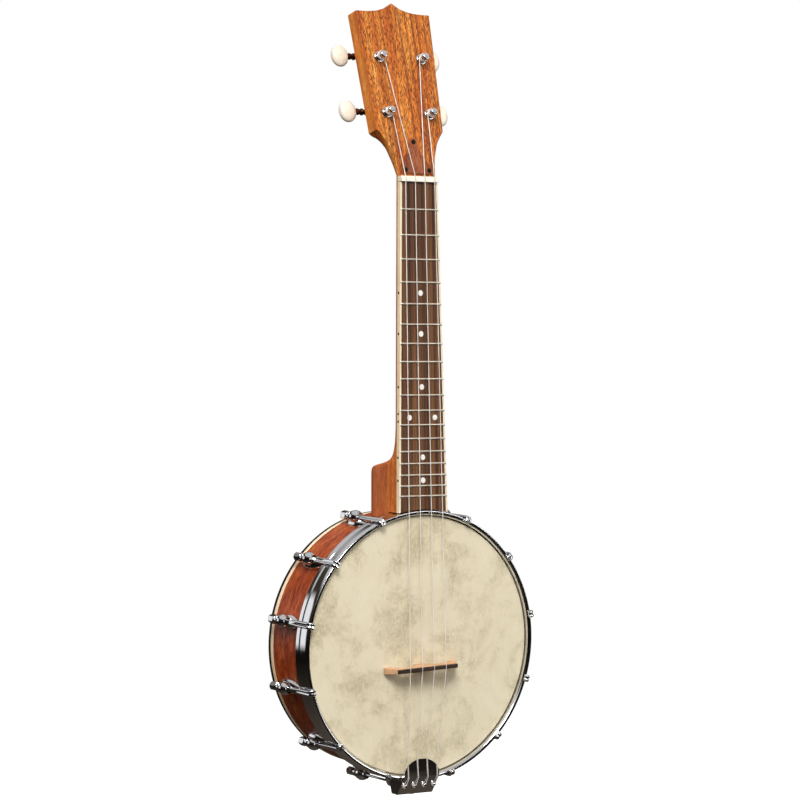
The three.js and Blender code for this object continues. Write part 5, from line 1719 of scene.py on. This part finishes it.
@dataclass
class Strings:
    """Four strings from the tailpiece over the bridge and the nut to their posts."""

    line: NeckLine
    radius: float = 0.36
    nut_spacing: float = 9.15
    lift: float = 0.75
    tail_spacing: float = 9.13
    loops: float = 2.5
    loop_pitch: float = 1.24
    winding_start: float = 3.4
    winding_radius: float = 3.21
    per_loop: int = 32
    shares = (-1.5, -0.5, 0.5, 1.5)
    bridge_spacing = 11.25

    def build(self) -> None:
        """Builds the strings, each with its winding of two and a half loops."""
        tail, bridge = Tailpiece(), Bridge()
        for number, (corner, share) in enumerate(zip(Corner, self.shares)):
            path = self.speaking_part(share, tail, bridge) + self.winding(corner)
            string = lofted(f"string_line_{number + 1}", sections_along(path, [self.radius] * len(path), 10))
            dress(shade(string, 60), Finish.STRING, f"string_{number + 1}")

    def speaking_part(self, share: float, tail: Tailpiece, bridge: Bridge) -> list[Vector]:
        """The string from its peg to the back of the nut.

        Args:
            share: The string's place across the neck, in spacings.
            tail: The tailpiece.
            bridge: The bridge.

        Returns:
            The points of its middle line.
        """
        line = self.line
        peg_x, peg_z = share * self.tail_spacing, tail.plate_end - tail.box_length / 2
        loop = tail.peg_radius + 0.1 + self.radius
        face = tail.front + tail.lip_drop / 2 - self.radius - 0.7
        points = [Vector((peg_x + loop * math.cos(t), face - 0.35 * i / 10, peg_z + loop * math.sin(t)))
                  for i, t in enumerate(angles(18, 1.5 * math.pi, 0.62 * math.pi))]
        front = tail.front - self.radius
        points.append(Vector((peg_x + loop * 0.8, front - 0.1, tail.plate_end - 0.4)))
        points.append(Vector((peg_x + loop * 0.6, front - 0.02, tail.plate_end + 1.2)))
        points.append(Vector((peg_x * 1.005, front - 0.02, tail.plate_end + tail.plate_length)))
        bridge_y = -(bridge.head_height + bridge.height) + bridge.notch - 0.15 - self.radius
        for end in (-0.5, 0.5):
            station = bridge.station + end * bridge.top_width
            points.append(Vector((share * self.bridge_spacing, bridge_y, station)))
        nut_x = share * self.nut_spacing
        for depth, station in ((-self.lift, line.nut_station), (-self.lift, line.nut_station + 2.5),
                               (-self.lift + self.radius, line.nut_back)):
            points.append(line.neck @ (Vector((nut_x, depth, station)) * MM) / MM)
        return points

    def winding(self, corner: Corner) -> list[Vector]:
        """The loops round a post, and the end that goes into its hole.

        Args:
            corner: The post's corner.

        Returns:
            The points of the string's middle line.
        """
        frame = self.line.headstock @ Tuners.place(corner)
        points = []
        total = round(self.loops * self.per_loop)
        for step in range(total + 1):
            turn = FULL_TURN * step / self.per_loop
            points.append(Vector((-corner.side * self.winding_radius * math.cos(turn),
                                  -(self.winding_start + self.loop_pitch * step / self.per_loop),
                                  self.winding_radius * math.sin(turn))))
        last = points[-1]
        hole, offset = -Tuners.hole_depth, -Tuners.hole_offset
        points += [Vector((last.x * 0.88, last.y * 0.6 + hole * 0.4, offset)),
                   Vector((last.x * 0.6, hole - 0.05, offset - 0.04)), Vector((0.0, hole, offset))]
        return [frame @ (point * MM) / MM for point in points]


@dataclass
class Tuners:
    """Four worm-geared tuning machines, each built at its post with +Y towards the back."""

    line: NeckLine
    post_radius: float = 3.0
    waist_radius: float = 2.5
    hole_radius: float = 1.05
    exposed: float = 9.4
    thickness: float = 12.5
    bushing_radius: float = 4.0
    flange_radius: float = 4.75
    flange_height: float = 1.6
    teeth: int = 14
    module: float = 0.58
    gear_width: float = 2.6
    gear_depth: float = 19.0
    tooth_share: float = 0.36
    worm_pitch: float = 2.35
    worm_length: float = 5.4
    rings_per_lead: int = 16
    shaft_radius: float = 1.5
    backlash_share: float = 0.1
    bore_play: float = 0.16
    ear_thickness: float = 1.5
    ear_width: float = 6.0
    ear_gap: float = 0.35
    plate_thickness: float = 1.1
    plate_half: float = 6.6
    plate_tail: float = 13.0
    plate_nose: float = 17.0
    screw_inset: float = 2.85
    button_offset: float = 16.6
    button_length: float = 14.4
    button_half_height: float = 9.0
    button_half_thickness: float = 3.7
    button_tang: float = 7.0
    half_spacing = 20.0
    stations = (51.6, 97.6)
    hole_depth = 6.2
    hole_offset = 0.5

    @classmethod
    def place(cls, corner: Corner) -> Matrix:
        """A tuning machine's place in the headstock's frame."""
        return translation(corner.side * cls.half_spacing, 0, cls.stations[corner.row])

    @property
    def gear_radius(self) -> float:
        """The gear's pitch radius."""
        return self.module * self.teeth / 2

    @property
    def worm_centre(self) -> float:
        """The worm's distance from the post's axis."""
        return self.gear_radius + self.worm_pitch

    @property
    def lead(self) -> float:
        """How far one turn of the worm moves a tooth."""
        return math.pi * self.module

    @property
    def plate_back(self) -> float:
        """The back face of the base plate."""
        return self.thickness + 0.3 + self.plate_thickness

    def build(self) -> None:
        """Builds all four machines: models of what is alike, then the worm and the button of each side."""
        models = [("bushing", self.bushing(), "post_bushing", False),
                  ("post", self.post(), "post_gear", True), ("gear", self.gear(), "post_gear", True),
                  ("machine_plate", self.plate(), "tuner_plate", False)]
        screw = Screw(1.9, 0.9, 1.0, 7.0).built("plate_screw_model")
        for corner in Corner:
            label, frame = corner.label, self.line.headstock @ self.place(corner)
            for name, model, node, is_moving in models:
                dress(copy_of(model, f"{name}_{label}", frame), Finish.CHROME, f"{node}_{label}",
                      body=f"post_{label}" if is_moving else ROOT)
            for i, z in enumerate((self.screw_inset - self.plate_tail, self.plate_nose - self.screw_inset)):
                place = frame @ translation(0, self.plate_back, z) @ about("Y", 35 * i)
                piece = copy_of(screw, f"plate_screw_{label}_{i + 1}", place)
                dress(piece, Finish.CHROME, f"tuner_plate_{label}")
            for name, piece, finish, node in (
                    ("worm", self.worm(corner.side), Finish.DARK_STEEL, "worm_shaft"),
                    ("knob", self.button(corner.side), Finish.BUTTON, "button")):
                piece.name = f"{name}_{label}"
                piece.data.transform(frame)
                dress(piece, finish, f"{node}_{label}", body=f"key_{label}")
        discard(screw, *(model for _, model, _, _ in models))

    def bushing(self) -> Piece:
        """The flanged bushing in the headstock's face."""
        inner, outer = self.post_radius + self.bore_play, self.bushing_radius
        wide, front = self.flange_radius, -self.flange_height - 0.3
        profile = rounded([
            (inner, front), (wide * 0.88, front), (wide, -self.flange_height * 0.55), (wide, 0.0),
            (outer, 0.0), (outer, 8.0), (inner, 8.0)], 0.3)
        return shade(turned("bushing_model", profile, 48))

    def post(self) -> Piece:
        """The string post, waisted for the winding, with its hole."""
        front, radius, waist = -self.exposed, self.post_radius, self.waist_radius
        end = self.gear_depth + self.gear_width / 2
        profile = rounded([
            (0.0, front), (radius * 0.82, front), (radius, front + 0.6), (radius, front + 2.0),
            (waist, front + 2.7), (waist, -3.2), (radius, -2.6), (radius, self.thickness),
            (radius * 0.85, self.thickness), (radius * 0.85, end), (0.0, end)], 0.25)
        post = turned("post_model", profile, 40)
        hole = turned("post_hole", rectangle(0.0, self.hole_radius, -6.0, 6.0), 20, Axis.X)
        hole.data.transform(translation(0, -self.hole_depth, -self.hole_offset))
        shape_with(post, hole, Cut.AWAY)
        return shade(post)

    def gear(self) -> Piece:
        """The gear on the post's back end, with the screw that holds it."""
        half = self.gear_width / 2
        twist = half * self.lead / (FULL_TURN * self.worm_pitch) / self.gear_radius
        rings = [self.gear_ring(self.gear_depth + half * share, twist * share)
                 for share in (-1, -0.5, 0, 0.5, 1)]
        gear = lofted("gear_model", rings)
        soften(gear, 0.08, 1, 50)
        screw = Screw(2.2, 1.2, 1.0, 2.0).built("gear_screw")
        screw.data.transform(translation(0, self.gear_depth + half, 0))
        return shade(joined("gear_model", [gear, screw]))

    def gear_ring(self, y: float, turn: float) -> list[Vector]:
        """The gear's outline at one depth.

        Args:
            y: The depth.
            turn: How far the helix has turned it there.

        Returns:
            The outline's points.
        """
        tip, root = self.gear_radius + self.module * 0.8, self.gear_radius - self.module
        pitch = FULL_TURN / self.teeth
        ring = []
        for tooth in range(self.teeth):
            centre = (tooth + 0.5) * pitch + turn
            wide, narrow = pitch * (self.tooth_share + 0.1) / 2, pitch * (self.tooth_share - 0.12) / 2
            for offset, radius in ((-wide, root), (-narrow, tip), (narrow, tip), (wide, root)):
                place = centre + offset
                ring.append(Vector((radius * math.sin(place), y, radius * math.cos(place))))
        return ring

    def plate(self) -> Piece:
        """The base plate with the two ears that carry the worm's shaft."""
        face = self.thickness + 0.02
        back, half = self.plate_back, self.plate_half
        body = slab("plate_model", rounded(rectangle(-half, half, -self.plate_tail, self.plate_nose), 2.2, 6),
                    face, back, Axis.Y)
        inner = self.worm_length / 2 + self.ear_gap
        centre, wide = self.worm_centre, self.ear_width
        level, top = self.gear_depth + 1, self.gear_depth + self.shaft_radius * 2.2
        for side in (1, -1):
            outline = rounded([
                (back - 0.5, centre - wide / 2), (level, centre - wide / 2), (top, centre - wide / 3),
                (top, centre + wide / 3), (level, centre + wide / 2), (back - 0.5, centre + wide / 2)],
                1.6, 5)
            low, high = sorted((side * inner, side * (inner + self.ear_thickness)))
            shape_with(body, slab("ear", outline, low, high, Axis.X), Cut.TOGETHER)
        shaft = turned("shaft_bore", rectangle(
            0.0, self.shaft_radius + self.bore_play, -8.0, 8.0), 32, Axis.X)
        shaft.data.transform(translation(0, self.gear_depth, centre))
        shape_with(body, shaft, Cut.AWAY)
        bore = turned("post_bore", rectangle(0.0, self.post_radius + 0.3, 8.0, 24.0), 32)
        shape_with(body, bore, Cut.AWAY)
        soften(body, 0.22, 2, 45)
        return shade(body, 40)

    def worm(self, side: int) -> Piece:
        """The worm with its shaft out to the button.

        Args:
            side: The side that the shaft points to.

        Returns:
            The piece in the machine's frame.
        """
        shaft, reach = self.shaft_radius, self.button_offset
        ring_pitch = self.lead / self.rings_per_lead
        count = math.floor(self.worm_length / ring_pitch)
        end = count * ring_pitch / 2
        journal = self.worm_length / 2 + 2 * self.ear_gap + self.ear_thickness
        neck = shaft * 1.4
        stations: list[tuple[float, float | None]] = [
            (-journal, shaft * 0.8), (-journal + 0.25, shaft), (-end - ring_pitch, shaft)]
        stations += [(i * ring_pitch - end, None) for i in range(count + 1)]
        stations += [(end + ring_pitch, shaft), (journal, shaft)]
        # the collar that keeps the shaft in its ears
        stations += [(journal + place, radius) for place, radius in (
            (0.01, 2.5), (0.25, 2.7), (1.75, 2.7), (2.0, 2.5), (2.01, neck))]
        # a second collar halfway, then the boss against the button and the tang inside it
        stations += [(9.6, neck), (9.7, 2.6), (9.95, 2.8), (11.2, 2.8), (11.5, 2.6), (11.6, neck),
                     (13.6, neck), (13.9, neck * 1.25), (reach, neck * 1.25), (reach + 0.01, shaft * 0.9),
                     (reach + self.button_tang, shaft * 0.9)]
        piece = lofted("worm_model", [self.worm_ring(side * place, radius) for place, radius in stations])
        return shade(piece, 40)

    def worm_ring(self, x: float, radius: float | None) -> list[Vector]:
        """A section across the worm's shaft.

        Args:
            x: Its place along the shaft.
            radius: Its radius, or None in the thread.

        Returns:
            The section's points.
        """
        ring = []
        sides = 24
        for i, turn in enumerate(angles(sides, FULL_TURN)[:-1]):
            reach = self.thread_radius(x / self.lead - i / sides) if radius is None else radius
            ring.append(Vector((x, self.gear_depth + reach * math.sin(turn),
                                self.worm_centre - reach * math.cos(turn))))
        return ring

    def thread_radius(self, phase: float) -> float:
        """The right-hand thread's radius.

        Args:
            phase: The place in the thread, in leads.

        Returns:
            The radius in millimetres.
        """
        offset = abs(phase - round(phase))
        crest, flank = self.tooth_share / 2 - self.backlash_share, self.tooth_share / 2 + self.backlash_share
        share = min(max((flank - offset) / (flank - crest), 0.0), 1.0)
        root, tip = self.worm_pitch - self.module, self.worm_pitch + self.module * 0.8
        return root + (tip - root) * share

    def button(self, side: int) -> Piece:
        """The oval button on the shaft's end.

        Args:
            side: The side that it is on.

        Returns:
            The piece in the machine's frame.
        """
        rings = []
        cut = 0.035
        for turn in angles(26, math.pi * (1 - 2 * cut), math.pi * cut):
            place = 0.5 - 0.5 * math.cos(turn) / math.cos(math.pi * cut)
            high = math.sin(turn) ** 0.86 + 0.12 * max(0.0, 1 - place / 0.14)
            thick = math.sin(turn) ** 0.62
            rings.append([Vector((side * (self.button_offset + self.button_length * place),
                                  self.gear_depth + self.button_half_thickness * thick * math.sin(t),
                                  self.worm_centre + self.button_half_height * high * math.cos(t)))
                          for t in angles(32, FULL_TURN)[:-1]])
        return shade(lofted("knob_model", rings), 60)


@dataclass
class Studio:
    """The camera at the photograph's angle, a pale floor and plain soft light.

    The camera's angles, distance and shift come from a fit to the frets and hooks in the picture.
    """

    yaw: float = 33.723
    pitch: float = 2.511
    roll: float = 1.165
    distance: float = 2444.0
    across: float = -17.68
    up: float = 193.28
    lens: float = 139.96
    pot_middle: float = 66.0
    floor_height: float = -200.0
    cloth_radius: float = 4.5
    cloth_top: float = 31.0
    # left, right, bottom and top, in degrees round from the left and above the floor
    window: tuple[float, float, float, float] = (46.0, 80.0, math.degrees(math.asin(-0.09)), 18.0)
    panel: tuple[float, float, float, float] = (-82.0, -38.0, 18.0, 52.0)

    def build(self) -> None:
        """Sets up the camera, the floor, the world and the lamps."""
        self.camera()
        self.floor()
        self.dark_surround()
        self.world()
        self.lamps()

    def camera(self) -> None:
        """Adds the camera."""
        yaw, pitch, roll = (math.radians(a) for a in (self.yaw, self.pitch, self.roll))
        back = Vector((-math.sin(yaw) * math.cos(pitch), -math.cos(yaw) * math.cos(pitch), math.sin(pitch)))
        level = Vector((0, 0, 1)).cross(back).normalized()
        rise = back.cross(level)
        right = level * math.cos(roll) + rise * math.sin(roll)
        top = rise * math.cos(roll) - level * math.sin(roll)
        place = right * self.across + top * self.up + back * self.distance - Vector((0, self.pot_middle, 0))
        data = bpy.data.cameras.new("photo_camera")
        data.lens = self.lens
        data.sensor_width = 36.0
        data.clip_start = 0.05
        data.clip_end = 60.0
        camera = bpy.data.objects.new("photo_camera", data)
        turn = Matrix((right, top, back)).transposed().to_4x4()
        camera.matrix_world = Matrix.Translation(place * MM) @ turn
        bpy.context.scene.collection.objects.link(camera)
        bpy.context.scene.camera = camera

    def white_for_lens(self, sheet: Sheet, lit: bpy.types.Node, plain: bpy.types.Node) -> bpy.types.Node:
        """Shows a plain shader to the camera and to reflections, and another to the light.

        Args:
            sheet: The material's or world's sheet.
            lit: The shader that the light sees.
            plain: The shader that the camera sees.

        Returns:
            The node that mixes them.
        """
        rays = sheet.add("LightPath").outputs
        seen = rays["Is Camera Ray"]
        for ray in ("Is Glossy Ray", "Is Transmission Ray"):
            seen = sheet.add("Math", {0: seen, 1: rays[ray]}, operation="MAXIMUM")
        return sheet.add("MixShader", {0: seen, 1: lit, 2: plain})

    def floor(self) -> None:
        """Adds the pale floor: shadowed by the instrument, and white to the lens further out."""
        bpy.ops.object.select_all(action="DESELECT")
        bpy.ops.mesh.primitive_plane_add(size=24.0, location=(0, 0, self.floor_height * MM))
        floor = bpy.context.object
        floor.name = "floor"
        sheet = Sheet("matt white paint")
        sheet.link(sheet.shader, {"Base Color": linear("#f4f4f3"), "Roughness": 0.9})
        glow = sheet.add("Emission", {"Color": linear("#ffffff"), "Strength": 0.45})
        near = sheet.add("AddShader", {0: sheet.shader, 1: glow})
        white = sheet.add("Emission", {"Color": linear("#ffffff"), "Strength": 1.0})
        place = sheet.add("TexCoord").outputs["Object"]
        far = sheet.add("VectorMath", {0: place}, operation="LENGTH").outputs["Value"]
        fade = sheet.add("MapRange", {
            "Value": far, "From Min": 0.35, "From Max": 1.1}, interpolation_type="SMOOTHSTEP")
        seen = sheet.add("MixShader", {0: fade, 1: near, 2: white})
        bounce = sheet.add("BsdfDiffuse", {"Color": linear("#4f4d4b")})
        sheet.link(sheet.output, {"Surface": self.white_for_lens(sheet, bounce, seen)})
        floor.data.materials.append(sheet.material)
        floor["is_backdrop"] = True

    def dark_surround(self) -> None:
        """Hangs glowing dark cloth round the studio and lays it below; only reflections see it.

        Polished plate looks white in an all-white room. The cloth gives it the dark bands of the
        picture, which also shows a bright window at the back left, a bright panel at the front left
        and brightness above. It takes no light from the instrument.
        """
        sheet = Sheet("glowing reflection cloth")
        place = sheet.add("TexCoord").outputs["Object"]
        parts = sheet.add("SeparateXYZ", {0: place}).outputs
        length = sheet.add("VectorMath", {0: place}, operation="LENGTH").outputs["Value"]
        rise = sheet.add("Math", {0: parts["Z"], 1: length}, operation="DIVIDE")
        leftwards = sheet.add("Math", {0: parts["X"], 1: -1.0}, operation="MULTIPLY")
        turn = sheet.add("Math", {0: parts["Y"], 1: leftwards}, operation="ARCTAN2")
        low, high = (math.sin(math.radians(self.cloth_top + shift)) for shift in (-3, 3))
        bright = sheet.add("MapRange", {"Value": rise, "From Min": low, "From Max": high, "To Max": 0.62})
        for opening, side_blur, top_blur in ((self.window, 0.07, 0.03), (self.panel, 0.03, 0.02)):
            left, right, bottom, top = (math.radians(angle) for angle in opening)
            lit = 1.0
            for value, edge, blur in ((turn, left, side_blur), (turn, right, -side_blur),
                                      (rise, math.sin(bottom), top_blur), (rise, math.sin(top), -top_blur)):
                inside = sheet.add("MapRange", {
                    "Value": value, "From Min": edge - blur, "From Max": edge + blur})
                lit = sheet.add("Math", {0: lit, 1: inside}, operation="MULTIPLY")
            bright = sheet.add("Math", {0: bright, 1: lit}, operation="MAXIMUM")
        height_share = sheet.add("MapRange", {"Value": rise, "From Min": -1.0})
        # painted light: the cloth glows by itself, darkest at the horizon and lighter below and above it, as
        # lit cloth would look; the window, the panel and the brightness above glow white
        cloth = sheet.add("ValToRGB", {0: height_share}, stops=[
            (0.0, "#575046"), (0.2, "#3a342e"), (0.4, "#120f0c"), (0.5, "#120f0c"), (0.53, "#1e1a16"),
            (0.65, "#332d27"), (0.74, "#453e36")])
        seen = sheet.add("Mix", {0: bright, 6: cloth, 7: linear("#ffffff")}, data_type="RGBA").outputs[2]
        sheet.link(sheet.output, {"Surface": sheet.add("Emission", {"Color": seen, "Strength": 1.0})})
        bpy.ops.object.select_all(action="DESELECT")
        bpy.ops.mesh.primitive_uv_sphere_add(segments=48, ring_count=24, radius=self.cloth_radius)
        surround = bpy.context.object
        surround.name = "dark_surround"
        bpy.ops.object.select_all(action="DESELECT")
        bpy.ops.mesh.primitive_plane_add(size=12.0)
        below = bpy.context.object
        below.data.transform(translation(0, 0, self.floor_height + 6))
        below.name = "dark_floor_cloth"
        for piece in (surround, below):
            piece.data.materials.append(sheet.material)
            piece.visible_camera = False
            piece.visible_diffuse = False
            piece.visible_transmission = False
            piece.visible_shadow = False
            piece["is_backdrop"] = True

    def world(self) -> None:
        """Lights the scene evenly; the lens sees white."""
        world = bpy.data.worlds.new("studio")
        bpy.context.scene.world = world
        sheet = Sheet("studio", world)
        sheet.tree.nodes.clear()
        lit = sheet.add("Background", {"Color": linear("#ffffff"), "Strength": 0.28})
        plain = sheet.add("Background", {"Color": linear("#ffffff"), "Strength": 1.0})
        sheet.add("OutputWorld", {"Surface": self.white_for_lens(sheet, lit, plain)})

    def lamps(self) -> None:
        """Adds the soft lamps."""
        middle = Vector((0, -0.05, 0.15))
        for name, place, size, power, colour in (
                ("key", (-1.2, -1.9, 2.2), 1.3, 93.0, "#ffffff"),
                ("fill", (1.9, -1.9, 0.7), 1.6, 24.0, "#ffffff"),
                ("side", (-2.2, 0.0, 1.9), 1.3, 14.0, "#ffd8b0"),
                ("back", (0.4, 2.2, 1.4), 1.6, 20.0, "#ffffff")):
            data = bpy.data.lights.new(name, "AREA")
            data.size = size
            data.energy = power
            data.color = linear(colour)[:3]
            lamp = bpy.data.objects.new(name, data)
            lamp.location = place
            lamp.rotation_euler = (middle - Vector(place)).to_track_quat("-Z", "Y").to_euler()
            lamp.visible_glossy = name in ("key", "fill")
            bpy.context.scene.collection.objects.link(lamp)


def write_sizes(cad: object, visual: object) -> None:
    """Puts the bounds into plain lists; they are not written anywhere.

    Args:
        cad: The bounds straight after loading.
        visual: The bounds just before finishing.
    """
    def plain(bounds: object) -> list[list[float]]:
        """Bounds as plain lists."""
        return [[float(value) for value in corner] for corner in bounds]

    {"cad": plain(cad), "visual": plain(visual)}


def main() -> None:
    """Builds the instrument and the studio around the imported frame."""
    logging.basicConfig(level=logging.INFO, format="%(name)s %(message)s")
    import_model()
    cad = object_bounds()
    bpy.context.scene.view_settings.view_transform = "Standard"
    Studio().build()
    line = NeckLine()
    assemblies = [Pot(), Brackets(), Rods(), Tailpiece(), Neck(line), Fretboard(line), RodCover(line),
                  Bridge(), Strings(line), Tuners(line)]
    for assembly in assemblies:
        LOG.info("building %s", type(assembly).__name__)
        assembly.build()
    write_sizes(cad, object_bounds())


if __name__ == "__main__":
    main()
